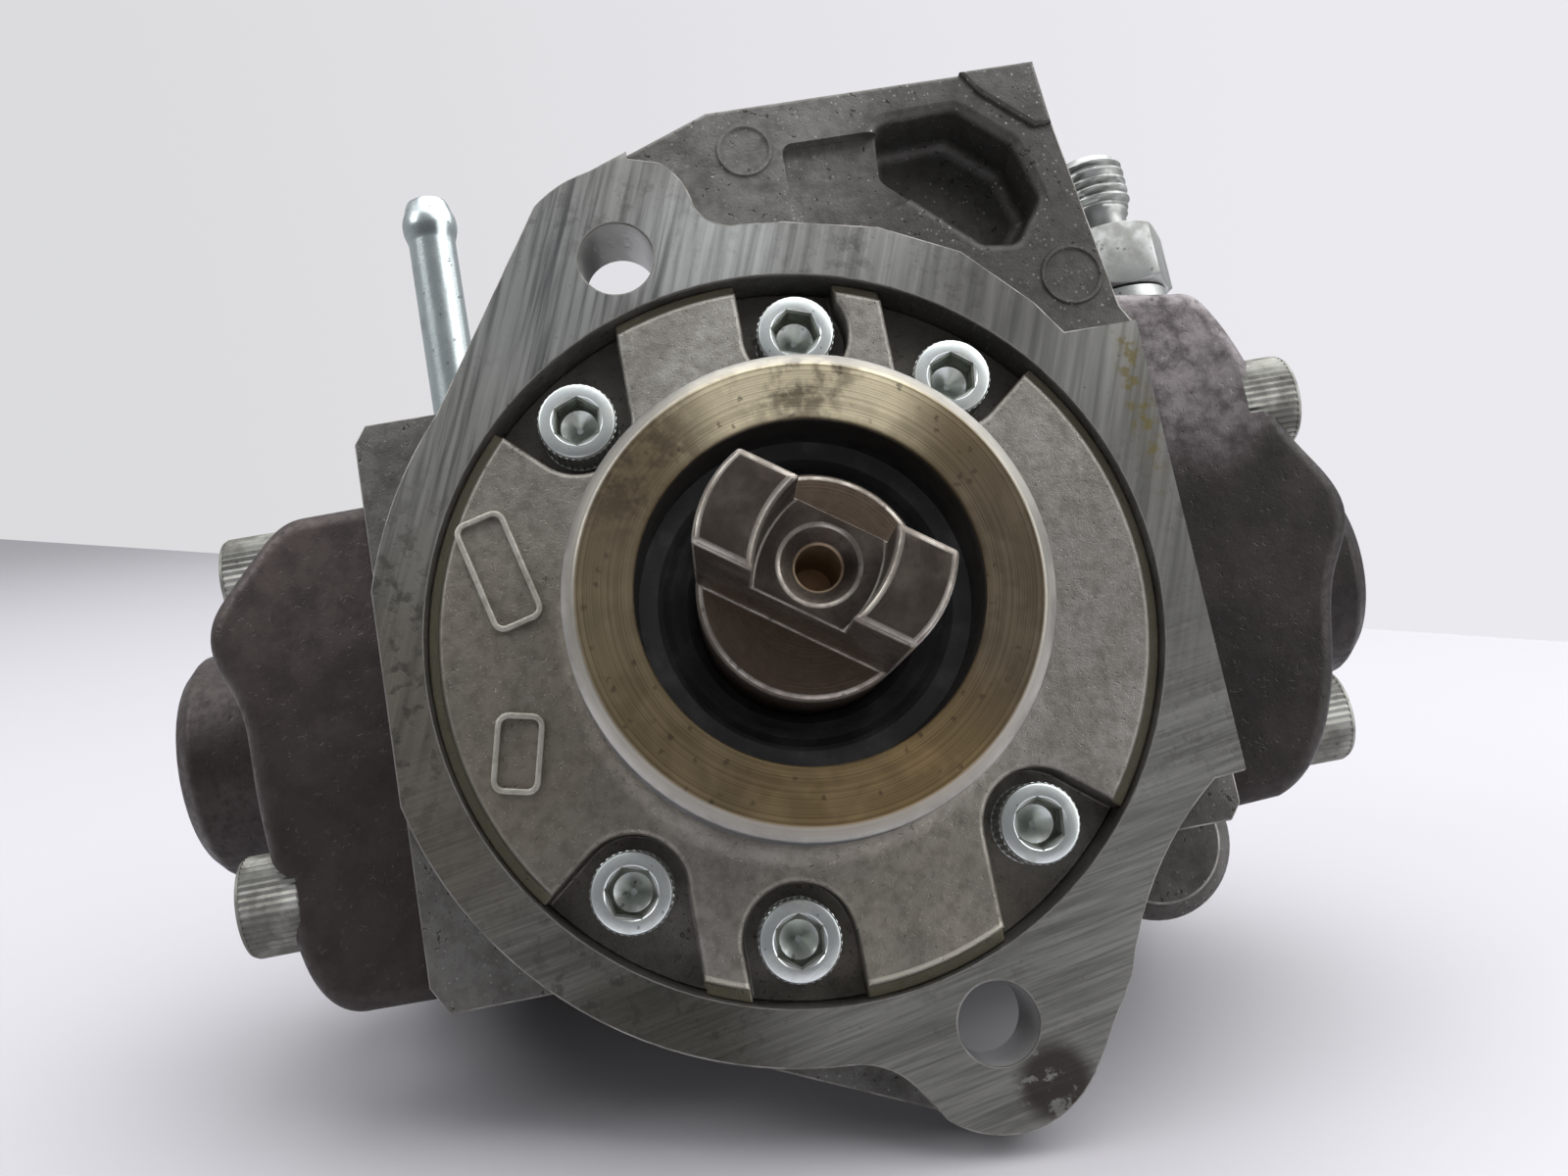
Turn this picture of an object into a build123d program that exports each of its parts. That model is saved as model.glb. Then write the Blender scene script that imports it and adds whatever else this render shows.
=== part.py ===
from build123d import *
import math
import os

os.makedirs("parts", exist_ok=True)

# Frame: the origin is on the shaft axis in the flange's front face. -Y points out of the
# front along the shaft, +X along the right plunger, +Z up. All lengths are in millimetres.

# Clearances between pieces
running_gap = 0.03
sliding_gap = 0.02
static_gap = 0.02
thread_gap = 0.05
rotor_gap = 0.08
cam_gap = 0.4

# Flange and body
flange_r = 52.4
flange_t = 12.0
flange_right = 50.6
flange_top = 69.7
mount_circle_r = 52.9
mount_angle = 105.7
mount_hole_r = 4.85
cast_step = 0.8
cast_rounding = 0.8
pad_rounding = 0.6
pocket_floor = 10.0
pocket_rim = 1.5
pocket_root = 2.0
shallow_floor = 2.6
web_setback = 4.5
block_x = 52.0
block_top = 37.0
block_bottom = -38.5
block_front = 8.0
block_back = 75.0
cavity_r = 33.0
cavity_back = 58.0
rear_wall_back = 66.0

# Front cover
cover_bore_r = 45.6
cover_bore_depth = 13.0
cover_edge_r = 44.1
cover_face = 0.6
cover_floor = 6.5
cover_ledge = 2.2
segment_rounding = 0.8
cover_boss_r = 21.0
cover_boss_back = 16.5
pilot_r = 26.5
pilot_face = -24.3
pilot_chamfer = 1.5
pilot_root_r = 3.5
pilot_groove_front = -18.2
pilot_groove_width = 3.0
pilot_groove_depth = 2.0
seal_bore_r = 18.7
seal_shoulder = -5.0
screw_circle_r = 38.0
screw_angles = (79.8, 47.9, 126.7, 227.8, 259.6, 309.8)
pocket_r = 6.8
cover_ring_section = 2.2

# Screws and bolts: thread radius, head radius, head height
m5 = (2.5, 4.25, 5.0)
m6 = (3.0, 5.0, 6.0)
m8 = (4.0, 6.5, 8.0)
hex_socket_share = 0.5
cover_screw_length = 18.0
rear_bolt_length = 20.0
head_bolt_length = 24.0

# Drive shaft
shaft_r = 12.2
journal_r = 14.0
journal_front = -1.0
journal_back = 27.0
eccentric_r = 17.0
eccentricity = 2.9
rear_journal_r = 11.0
shaft_back = 77.0
shaft_face = -25.3
tongue_face = -36.5
tongue_width = 10.0
tongue_angle = -36.0
dog_face = -45.2
dog_inner = 4.9
dog_hollow = 1.1
centre_hole_r = 2.3
centre_sink_r = 4.0
centre_hole_depth = 14.0
front_bush_wall = 2.0
front_bush_length = 15.0
rear_bush_wall = 2.0

# Cam ring
plunger_y = 41.0
ring_width = 26.0
ring_r = 29.0
ring_half = 24.0
ring_bush_wall = 2.2

# Plungers and their heads
plunger_r = 4.25
plunger_stroke = 2 * eccentricity
plunger_length = 23.0
tappet_r = 12.6
tappet_t = 3.0
side_bore_r = 14.0
spigot_depth = 8.0
head_front = 9.0
head_back = 73.0
head_corner = 2.5
boss_r = 16.4
boss_end = 86.0
boss_edge = 2.5
bolt_seat = 66.5
near_bolt = (16.0, 21.4)
low_bolt = (24.5, -22.7)
head_ring_section = 2.0
chamber_r = 6.0
chamber_start = 60.0
plug_r = 10.0
plug_start = 73.0
plug_end = 85.0
poppet_r = 5.7
poppet_start = 60.1
poppet_t = 3.5
poppet_lift = 0.8

# Plunger and valve springs: wire radius and number of turns
plunger_wire = 0.8
plunger_turns = 3.5
valve_wire = 0.5
valve_turns = 5.0

# High-pressure union
union_x = 64.0
union_boss_r = 10.5
union_boss_top = 44.5
union_collar_r = 8.0
union_hex = 17.0
union_hex_bottom = 48.5
union_hex_top = 58.9
union_neck_top = 62.8
union_thread_r = 6.0
union_tip = 72.1
union_bore_r = 2.0
union_spigot_r = 5.0
union_spigot_depth = 10.0
ball_r = 2.6
ball_lift = 0.8
washer_t = 1.2

# Return pipe and inlet pipe
return_x = -45.6
return_y = 60.0
return_boss_r = 6.3
return_boss_top = 47.0
return_top = 93.5
return_r = 4.0
return_bead_r = 4.65
return_bore_r = 2.8
return_depth = 8.0
inlet_z = -24.0
inlet_r = 5.0
inlet_bead_r = 5.8
inlet_bore_r = 3.6
inlet_end = 116.0

# Feed pump rotors
rotor_lobes = 6
rotor_outer_r = 24.0
rotor_rim = rotor_outer_r / 6
rotor_seat_r = rotor_outer_r / 3
rotor_offset = 0.075 * rotor_outer_r
rotor_pin_circle = rotor_outer_r - rotor_rim
rotor_pin_r = 0.275 * rotor_pin_circle
rotor_points = 12
key_width = 3.0
key_height = 3.0
key_length = 7.0

# Rear cover
rear_cover_r = 37.0
rear_cover_t = 9.0
rear_boss_r = 19.0
rear_boss_t = 8.0
rear_bolt_circle = 32.5
rear_ring_r = 27.8
rear_ring_section = 1.8

# Suction control valve on the top boss
control_x = 16.0
control_z = 54.0
control_boss_r = 15.0
control_bore_r = 9.0
control_bore_front = 45.0
control_flange_t = 4.0
control_can_r = 11.0
control_can_end = 104.0
control_screw_pitch = 16.0
control_ear_r = 6.0
needle_r = 3.0
needle_length = 14.0
needle_stroke = 3.0

# Regulating valve in the lower right boss
regulator_x = 47.4
regulator_z = -35.8
regulator_r = 11.2
regulator_front = 30.0
notch_x = regulator_x - 9.4
notch_z = -33.6
regulator_back = 82.0
regulator_bore_r = 5.0
regulator_bore_front = 50.0
regulator_stroke = 4.0
piston_length = 10.0

# Fuel temperature sensor
sensor_x = -42.0
sensor_z = -26.0
sensor_thread_r = 6.0
sensor_depth = 10.0
sensor_hex = 19.0


def front_plane(y):
    """Plane across the shaft axis at the given y, with local x, y as X, Z and its normal to -Y."""
    return Plane.XZ.offset(-y)


def polar(radius, angle):
    """Point at a radius and an angle in degrees, as a pair."""
    return (radius * math.cos(math.radians(angle)), radius * math.sin(math.radians(angle)))


def slab(y_front, y_back, sketch, mode=Mode.ADD):
    """Extrude a sketch drawn on front_plane(y_back) forward to y_front."""
    extrude(sketch, amount=y_back - y_front, dir=(0, -1, 0), mode=mode)


def disc(y_front, y_back, radius, centre=(0, 0), mode=Mode.ADD):
    """Add or cut a cylinder along Y between two stations."""
    with BuildSketch(front_plane(y_back)) as face:
        with Locations(centre):
            Circle(radius)
    slab(y_front, y_back, face.sketch, mode)


def hexagon(y_front, y_back, across_flats, centre=(0, 0), mode=Mode.ADD):
    """Add or cut a hexagonal prism along Y between two stations."""
    with BuildSketch(front_plane(y_back)) as face:
        with Locations(centre):
            RegularPolygon(across_flats / 2, 6, major_radius=False)
    slab(y_front, y_back, face.sketch, mode)


def block(y_front, y_back, low, high, mode=Mode.ADD):
    """Add or cut a box between two stations and two opposite (x, z) corners."""
    with BuildSketch(front_plane(y_back)) as face:
        with Locations(((low[0] + high[0]) / 2, (low[1] + high[1]) / 2)):
            Rectangle(high[0] - low[0], high[1] - low[1])
    slab(y_front, y_back, face.sketch, mode)


def polygon(y_front, y_back, points, mode=Mode.ADD):
    """Add or cut a prism along Y with a polygonal (x, z) outline."""
    with BuildSketch(front_plane(y_back)) as face:
        with BuildLine():
            Polyline(*points, close=True)
        make_face()
    slab(y_front, y_back, face.sketch, mode)


def turned_y(outline, centre=(0, 0), mode=Mode.ADD):
    """Revolve (radius, y) points about the line along Y through centre, an (x, z) pair."""
    with BuildSketch(Plane.XY.offset(centre[1])) as profile:
        with BuildLine():
            Polyline(*[(centre[0] + radius, y) for radius, y in outline], close=True)
        make_face()
    revolve(profile.sketch, axis=Axis((centre[0], 0, centre[1]), (0, 1, 0)), mode=mode)


def turned_x(outline, side=1, y=plunger_y, z=0.0, mode=Mode.ADD):
    """Revolve (x, radius) points about the line along X at y, z, on the right or left side."""
    with BuildSketch(Plane.XY.offset(z)) as profile:
        with BuildLine():
            Polyline(*[(side * x, y + radius) for x, radius in outline], close=True)
        make_face()
    revolve(profile.sketch, axis=Axis((0, y, z), (1, 0, 0)), mode=mode)


def turned_z(outline, x, y, mode=Mode.ADD):
    """Revolve (radius, z) points about the vertical line at x, y."""
    with BuildSketch(front_plane(y)) as profile:
        with BuildLine():
            Polyline(*[(x + radius, z) for radius, z in outline], close=True)
        make_face()
    revolve(profile.sketch, axis=Axis((x, y, 0), (0, 0, 1)), mode=mode)


def tube(inner, outer, low, high):
    """Outline of a plain tube as (radius, station) points."""
    return [(inner, low), (outer, low), (outer, high), (inner, high)]


def swapped(outline):
    """Outline with its two coordinates exchanged, for pieces turned about X."""
    return [(station, radius) for radius, station in outline]


def coil(origin, direction, radius, wire, turns, length):
    """Add a helical spring that fills the length from origin along direction."""
    rise = length - 2 * wire
    base = Plane(origin=origin, z_dir=direction)
    start = base.offset(wire)
    path = Helix(pitch=rise / turns, height=rise, radius=radius, center=start.origin, direction=direction)
    with BuildSketch(Plane(origin=path @ 0, z_dir=path % 0)) as section:
        RegularPolygon(wire, 6)
    sweep(section.sketch, path=path, is_frenet=True)


def save(piece, name):
    """Label a finished piece and write its STEP file."""
    piece.part.label = name
    export_step(piece.part, "parts/" + name + ".step")


# Hole positions shared by several pieces
upper_mount = polar(mount_circle_r, mount_angle)
lower_mount = polar(mount_circle_r, mount_angle + 180)
screw_spots = [polar(screw_circle_r, angle) for angle in screw_angles]
rear_bolt_spots = [polar(rear_bolt_circle, 45 + 90 * quarter) for quarter in range(4)]
control_centre = (control_x, control_z)
control_screw_spots = [(control_x + side * control_screw_pitch, control_z) for side in (-1, 1)]
regulator_centre = (regulator_x, regulator_z)
sensor_centre = (sensor_x, sensor_z)


def head_bolt_spots(side):
    """The four (y, z) bolt places of a head; the left head's pattern is turned half round."""
    spots = []
    for y, z in (near_bolt, low_bolt):
        spots.append((y, side * z))
        spots.append((2 * plunger_y - y, -side * z))
    return spots


# Pump body: flange, block, bosses and all of the bores
with BuildPart() as pump_body:
    with BuildSketch(front_plane(flange_t)):
        with BuildLine():
            edge = Line(polar(flange_r, 139.2), (-23.6, 59.7))
            edge = ThreePointArc(edge @ 1, (-20.0, 62.1), (-16.0, 63.4))
            edge = Polyline(edge @ 1, (0.6, flange_top), (43.2, flange_top))
            edge = ThreePointArc(edge @ 1, (44.7, flange_top - 0.6), (45.3, flange_top - 2.3))
            edge = Polyline(edge @ 1, (49.2, 34.0), (flange_right, 31.2), (flange_right, -27.6), (46.6, -27.9))
            edge = ThreePointArc(edge @ 1, (37.6, -36.6), (31.2, -48.6))
            edge = Line(edge @ 1, (25.2, -57.3))
            edge = ThreePointArc(edge @ 1, (15.4, -63.4), (6.2, -60.4))
            edge = Line(edge @ 1, (3.4, -56.2))
            edge = ThreePointArc(edge @ 1, (0.6, -53.6), polar(flange_r, 266))
            edge = ThreePointArc(edge @ 1, polar(flange_r, 230), polar(flange_r, 194.6))
            edge = Line(edge @ 1, polar(flange_r, 165.4))
            edge = ThreePointArc(edge @ 1, polar(flange_r, 152), polar(flange_r, 139.2))
        make_face()
    extrude(amount=flange_t)
    # Cast web behind the machined lug
    polygon(web_setback, flange_t, [(6.4, -60.2), (9.0, -50.0), (-24.0, -42.0), (-23.0, -47.0)])
    # Upper cast area, a step below the machined face, with its pockets
    with BuildSketch(front_plane(cast_step)) as cast_area:
        with BuildLine():
            rim = Polyline((-10.6, 66.0), (-10.6, 64.4), (-6.6, 63.2))
            rim = ThreePointArc(rim @ 1, (-4.7, 61.0), (-3.4, 57.1))
            rim = ThreePointArc(rim @ 1, (-1.9, 54.4), (2.0, 53.0))
            rim = Polyline(rim @ 1, (8.0, 52.4), (20.0, 49.6), (30.0, 44.5), (38.0, 36.0), (41.0, 31.4))
            rim = Polyline(rim @ 1, (60.0, 31.4), (60.0, 80.0), (-10.6, 80.0), (-10.6, 66.0))
        make_face()
    slab(0.0, cast_step, cast_area.sketch, Mode.SUBTRACT)
    polygon(0.0, cast_step + 0.1, [(35.2, 69.7), (37.0, 66.5), (43.5, 60.4), (45.9, 60.6), (45.3, 69.7)])
    with BuildSketch(front_plane(pocket_floor)) as deep_pocket:
        with BuildLine():
            Polyline((22.6, 64.4), (21.9, 57.0), (33.6, 45.6), (38.0, 45.0), (42.2, 50.6), (40.2, 58.6), (33.6, 64.8), close=True)
        make_face()
        fillet(deep_pocket.vertices(), 2.0)
    slab(0.0, pocket_floor, deep_pocket.sketch, Mode.SUBTRACT)
    fillet(pump_body.edges(Select.LAST).filter_by(lambda line: abs((line @ 0.5).Y - cast_step) < 0.01), pocket_rim)
    floor_face = pump_body.faces().filter_by(lambda side: abs(side.center().Y - pocket_floor) < 0.01)
    fillet(floor_face.filter_by(lambda side: side.center().Z > block_top).edges(), pocket_root)
    with BuildSketch(front_plane(shallow_floor)) as shallow_pocket:
        with BuildLine():
            Polyline((9.6, 63.4), (9.6, 54.4), (20.0, 51.6), (24.4, 52.6), (30.0, 56.5), (30.0, 63.4), close=True)
        make_face()
        fillet(shallow_pocket.vertices().filter_by(lambda corner: corner.X < 22), 1.5)
    slab(-1.0, shallow_floor, shallow_pocket.sketch, Mode.SUBTRACT)
    # Rounded edges of the casting along its top and on its raised pad
    top_line = pump_body.edges().filter_by(lambda line: abs((line @ 0.5).Y - cast_step) < 0.01)
    fillet(top_line.filter_by(lambda line: (line @ 0.5).Z > 66.2 and (line @ 0.5).X < 36), cast_rounding)
    pad_line = pump_body.edges().filter_by(lambda line: abs((line @ 0.5).Y) < 0.01 and (line @ 0.5).X > 34)
    fillet(pad_line.filter_by(lambda line: (line @ 0.5).Z > 58), pad_rounding)
    # Block that carries the heads; its front part is cut away in front of the regulator boss
    block_left = [(-block_x + 2.0, block_bottom), (-block_x, block_bottom + 3.5), (-block_x, block_top - 2.4),
                  (1.6 - block_x, block_top), (block_x - 1.6, block_top), (block_x, block_top - 2.4)]
    block_notch = [(block_x, notch_z + 2.0), (block_x - 1.6, notch_z), (notch_x, notch_z), (notch_x, block_bottom)]
    polygon(block_front, regulator_front, block_left + block_notch)
    polygon(regulator_front, block_back, block_left + [(block_x, block_bottom + 3.5), (block_x - 2.0, block_bottom)])
    # Bosses: control valve, return pipe and regulating valve
    disc(flange_t, block_back, control_boss_r, control_centre)
    block(flange_t, block_back, (control_x - 12.0, block_top - 1), (control_x + 12.0, control_z))
    block(block_back - 16.0, block_back,
          (control_x - control_screw_pitch - control_ear_r, control_z - control_ear_r),
          (control_x + control_screw_pitch + control_ear_r, control_z + control_ear_r))
    turned_z([(0, block_top - 1), (return_boss_r, block_top - 1), (return_boss_r, return_boss_top),
              (0, return_boss_top)], return_x, return_y)
    turned_y([(0, regulator_front), (regulator_r - 2.5, regulator_front), (regulator_r, regulator_front + 2.5),
              (regulator_r, regulator_back), (0, regulator_back)], regulator_centre)
    block(head_front - 1, head_back + 1.5, (block_x, -32.7), (block_x + 12.0, -20.0), Mode.SUBTRACT)
    # Bores along the shaft axis
    disc(0.0, cover_bore_depth, cover_bore_r, mode=Mode.SUBTRACT)
    disc(cover_bore_depth, cavity_back, cavity_r, mode=Mode.SUBTRACT)
    disc(cavity_back, rear_wall_back, rear_journal_r + running_gap + rear_bush_wall + static_gap, mode=Mode.SUBTRACT)
    disc(rear_wall_back, block_back, rotor_outer_r + running_gap, (-rotor_offset, 0), Mode.SUBTRACT)
    # Side bores for the tappets
    for side in (-1, 1):
        turned_x([(20.0, 0), (20.0, side_bore_r), (block_x + 1, side_bore_r), (block_x + 1, 0)], side, mode=Mode.SUBTRACT)
    # Mounting holes and threaded holes
    for spot in (upper_mount, lower_mount):
        disc(0.0, flange_t, mount_hole_r, spot, Mode.SUBTRACT)
    for spot in screw_spots:
        disc(cover_bore_depth, cover_bore_depth + cover_screw_length - (cover_bore_depth - cover_floor) + 2.0,
             m6[0] + thread_gap, spot, Mode.SUBTRACT)
    for spot in rear_bolt_spots:
        disc(block_back - (rear_bolt_length - rear_cover_t) - 1.5, block_back, m6[0] + thread_gap, spot, Mode.SUBTRACT)
    for spot in control_screw_spots:
        disc(block_back - 12.0, block_back, m5[0] + thread_gap, spot, Mode.SUBTRACT)
    for side in (-1, 1):
        for y, z in head_bolt_spots(side):
            turned_x([(bolt_seat - head_bolt_length - 1.0, 0),
                      (bolt_seat - head_bolt_length - 1.0, m8[0] + thread_gap),
                      (block_x + 1, m8[0] + thread_gap), (block_x + 1, 0)], side, y, z, Mode.SUBTRACT)
    disc(control_bore_front, block_back, control_bore_r, control_centre, Mode.SUBTRACT)
    disc(regulator_bore_front, regulator_back, regulator_bore_r, regulator_centre, Mode.SUBTRACT)
    disc(block_back - sensor_depth - 1.0, block_back, sensor_thread_r + thread_gap, sensor_centre, Mode.SUBTRACT)
    turned_z([(0, return_boss_top - return_depth), (return_r + static_gap, return_boss_top - return_depth),
              (return_r + static_gap, return_boss_top), (0, return_boss_top)], return_x, return_y, Mode.SUBTRACT)
save(pump_body, "pump_body")

# Front cover: pilot hub, raised cast segments, screw pockets, seal and bush bores
front_bush_r = journal_r + running_gap + front_bush_wall
cover_back_y = cover_bore_depth - static_gap
groove_back = pilot_groove_front + pilot_groove_width
with BuildPart() as front_cover:
    with BuildSketch(Plane.XY) as half_section:
        with BuildLine():
            hub = Polyline(
                (seal_bore_r, pilot_face), (pilot_r - pilot_chamfer, pilot_face),
                (pilot_r, pilot_face + pilot_chamfer), (pilot_r, pilot_groove_front),
                (pilot_r - pilot_groove_depth, pilot_groove_front), (pilot_r - pilot_groove_depth, groove_back),
                (pilot_r, groove_back), (pilot_r, cover_face - pilot_root_r))
            root = RadiusArc(hub @ 1, (pilot_r + pilot_root_r, cover_face), pilot_root_r)
            if root.center().X < pilot_r:
                raise ValueError("the pilot root has to be hollow")
            Polyline(
                root @ 1, (cover_edge_r, cover_face), (cover_edge_r, cover_ledge),
                (cover_bore_r - static_gap, cover_ledge), (cover_bore_r - static_gap, cover_floor + 1.7),
                (cover_bore_r - cover_ring_section, cover_floor + 1.7),
                (cover_bore_r - cover_ring_section, cover_floor + 1.7 + cover_ring_section + 0.2),
                (cover_bore_r - static_gap, cover_floor + 1.7 + cover_ring_section + 0.2),
                (cover_bore_r - static_gap, cover_back_y), (cover_boss_r, cover_back_y),
                (cover_boss_r, cover_boss_back), (front_bush_r + static_gap, cover_boss_back),
                (front_bush_r + static_gap, seal_shoulder), (seal_bore_r, seal_shoulder), (seal_bore_r, pilot_face))
        make_face()
    revolve(axis=Axis.Y)
    # Screw pockets: a round seat that opens to the rim between two side walls
    pocket_edges = (
        (0.0, 12.7, None),
        (18.5, None, 38.5),
        (-16.0, None, 136.5),
        (-18.8, None, 218.5),
        (-13.6, 0.1, None),
        (17.5, None, 320.5),
    )
    for spot, (wall_a, wall_b, ray) in zip(screw_spots, pocket_edges):
        up = 1 if spot[1] > 0 else -1
        rim_z = up * (cover_bore_r + 8)
        with BuildSketch(front_plane(cover_floor)) as pocket:
            with Locations(spot):
                Circle(pocket_r)
            with BuildLine():
                if ray is None:
                    Polyline((wall_a, spot[1]), (wall_b, spot[1]), (wall_b, rim_z), (wall_a, rim_z), close=True)
                else:
                    unit = polar(1, ray)
                    out = 1 if unit[0] > 0 else -1
                    tangent = (spot[0] + pocket_r * up * out * unit[1], spot[1] - pocket_r * up * out * unit[0])
                    rim = (tangent[0] + 30 * unit[0], tangent[1] + 30 * unit[1])
                    Polyline((wall_a, spot[1]), spot, tangent, rim, (wall_a, rim_z), close=True)
            make_face()
        with BuildSketch(front_plane(cover_floor)) as hub_keep:
            Circle(pilot_r)
        slab(pilot_face, cover_floor, pocket.sketch - hub_keep.sketch, Mode.SUBTRACT)
    segment_face = front_cover.faces().filter_by(lambda side: abs(side.center().Y - cover_face) < 0.01)
    root_end_r = pilot_r + pilot_root_r + 0.3
    fillet(segment_face.edges().filter_by(lambda line: math.hypot((line @ 0.5).X, (line @ 0.5).Z) > root_end_r),
           segment_rounding)
    for spot in screw_spots:
        disc(cover_floor, cover_bore_depth, m6[0] + 0.2, spot, Mode.SUBTRACT)
save(front_cover, "front_cover")

# Rings and seals of the cover
with BuildPart() as cover_o_ring:
    turned_y(tube(cover_bore_r - cover_ring_section + static_gap, cover_bore_r - static_gap,
                  cover_floor + 1.7 + 0.1, cover_floor + 1.7 + cover_ring_section))
save(cover_o_ring, "cover_o_ring")

pilot_ring_inner = pilot_r - pilot_groove_depth + static_gap
with BuildPart() as pilot_o_ring:
    turned_y([(pilot_ring_inner, pilot_groove_front + 0.2), (pilot_r - 0.3, pilot_groove_front + 0.2),
              (pilot_r + 0.3, pilot_groove_front + 0.9), (pilot_r + 0.3, groove_back - 0.9),
              (pilot_r - 0.3, groove_back - 0.2), (pilot_ring_inner, groove_back - 0.2)])
save(pilot_o_ring, "pilot_o_ring")

with BuildPart() as shaft_seal:
    turned_y([(seal_bore_r - static_gap, seal_shoulder - 0.05), (seal_bore_r - static_gap, seal_shoulder - 10.0),
              (16.6, seal_shoulder - 10.0), (16.0, seal_shoulder - 8.4), (15.2, seal_shoulder - 9.2),
              (14.2, seal_shoulder - 7.4), (13.4, seal_shoulder - 8.2), (shaft_r + 0.05, seal_shoulder - 6.0),
              (13.2, seal_shoulder - 3.4), (15.6, seal_shoulder - 3.0), (15.6, seal_shoulder - 0.05)])
save(shaft_seal, "shaft_seal")

# Socket head screws, each a separate solid
with BuildPart() as cover_screws:
    for spot in screw_spots:
        disc(cover_floor - m6[2], cover_floor - static_gap, m6[1], spot)
        disc(cover_floor - 1, cover_floor + cover_screw_length, m6[0], spot)
        hexagon(cover_floor - m6[2], cover_floor - m6[2] / 2, 2 * m6[1] * hex_socket_share, spot, Mode.SUBTRACT)
save(cover_screws, "cover_screws")

with BuildPart() as rear_cover_bolts:
    for spot in rear_bolt_spots:
        seat = block_back + rear_cover_t
        disc(seat + static_gap, seat + m6[2], m6[1], spot)
        disc(seat - rear_bolt_length, seat + 1, m6[0], spot)
        hexagon(seat + m6[2] / 2, seat + m6[2], 2 * m6[1] * hex_socket_share, spot, Mode.SUBTRACT)
save(rear_cover_bolts, "rear_cover_bolts")

# Plain bearings
with BuildPart() as front_bush:
    turned_y(tube(journal_r + running_gap, front_bush_r, cover_boss_back - front_bush_length, cover_boss_back))
save(front_bush, "front_bush")

with BuildPart() as rear_bush:
    turned_y(tube(rear_journal_r + running_gap, rear_journal_r + running_gap + rear_bush_wall,
                  cavity_back - 0.5, rear_wall_back - 0.1))
save(rear_bush, "rear_bush")

# Drive shaft: tongue with two dogs, journals and the eccentric
ring_front = plunger_y - ring_width / 2
ring_back = plunger_y + ring_width / 2
with BuildPart() as drive_shaft:
    turned_y([(0, shaft_face), (shaft_r - 0.5, shaft_face), (shaft_r, shaft_face + 0.5),
              (shaft_r, journal_front - 1.2), (journal_r - 1.2, journal_front), (journal_r, journal_front + 1.2),
              (journal_r, journal_back), (0, journal_back)])
    disc(journal_back, ring_back + 0.6, eccentric_r, (0, eccentricity))
    turned_y([(0, ring_back), (rear_journal_r, ring_back), (rear_journal_r, rear_wall_back - 0.6),
              (rotor_seat_r, rear_wall_back), (rotor_seat_r, shaft_back - 1), (rotor_seat_r - 1, shaft_back),
              (0, shaft_back)])
    with BuildSketch(front_plane(shaft_face)) as tongue:
        Rectangle(2 * shaft_r, tongue_width, rotation=tongue_angle)
        Circle(shaft_r, mode=Mode.INTERSECT)
    extrude(tongue.sketch, amount=shaft_face - tongue_face)
    with BuildSketch(front_plane(tongue_face)) as dogs:
        Rectangle(2 * shaft_r, tongue_width, rotation=tongue_angle)
        Circle(shaft_r, mode=Mode.INTERSECT)
        with BuildLine(mode=Mode.PRIVATE) as hollow:
            left = ThreePointArc((-dog_inner, tongue_width / 2), (-dog_inner - dog_hollow, 0), (-dog_inner, -tongue_width / 2))
            right = ThreePointArc((dog_inner, -tongue_width / 2), (dog_inner + dog_hollow, 0), (dog_inner, tongue_width / 2))
            Line(left @ 1, right @ 0)
            Line(right @ 1, left @ 0)
        gap = make_face(hollow.edges(), mode=Mode.PRIVATE)
        add(gap.rotate(Axis.Z, tongue_angle), mode=Mode.SUBTRACT)
    extrude(dogs.sketch, amount=tongue_face - dog_face)
    chamfer(drive_shaft.faces().filter_by(Axis.Y).sort_by(Axis.Y)[:2].edges(), 0.45)
    disc(tongue_face, tongue_face + centre_hole_depth, centre_hole_r, mode=Mode.SUBTRACT)
    turned_y([(0, tongue_face), (centre_sink_r, tongue_face), (centre_hole_r, tongue_face + 1.7), (0, tongue_face + 1.7)],
             mode=Mode.SUBTRACT)
    key_floor = rotor_seat_r - key_height / 2
    block(rear_wall_back + 1.0, rear_wall_back + 1.0 + key_length, (-key_width / 2, key_floor),
          (key_width / 2, rotor_seat_r + 1), Mode.SUBTRACT)
save(drive_shaft, "drive_shaft")

# Cam ring and its bush, which sit on the eccentric
ring_bore = eccentric_r + running_gap + ring_bush_wall
with BuildPart() as cam_ring_bush:
    turned_y(tube(eccentric_r + running_gap, ring_bore, ring_front, ring_back), (0, eccentricity))
save(cam_ring_bush, "cam_ring_bush")

with BuildPart() as cam_ring:
    with BuildSketch(front_plane(ring_back)) as ring_face:
        with Locations((0, eccentricity)):
            Circle(ring_r)
            Rectangle(2 * ring_half, 3 * ring_r, mode=Mode.INTERSECT)
            Circle(ring_bore + static_gap / 2, mode=Mode.SUBTRACT)
    slab(ring_front, ring_back, ring_face.sketch)
    chamfer(cam_ring.edges().filter_by(Axis.Y), 0.6)
save(cam_ring, "cam_ring")

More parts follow.
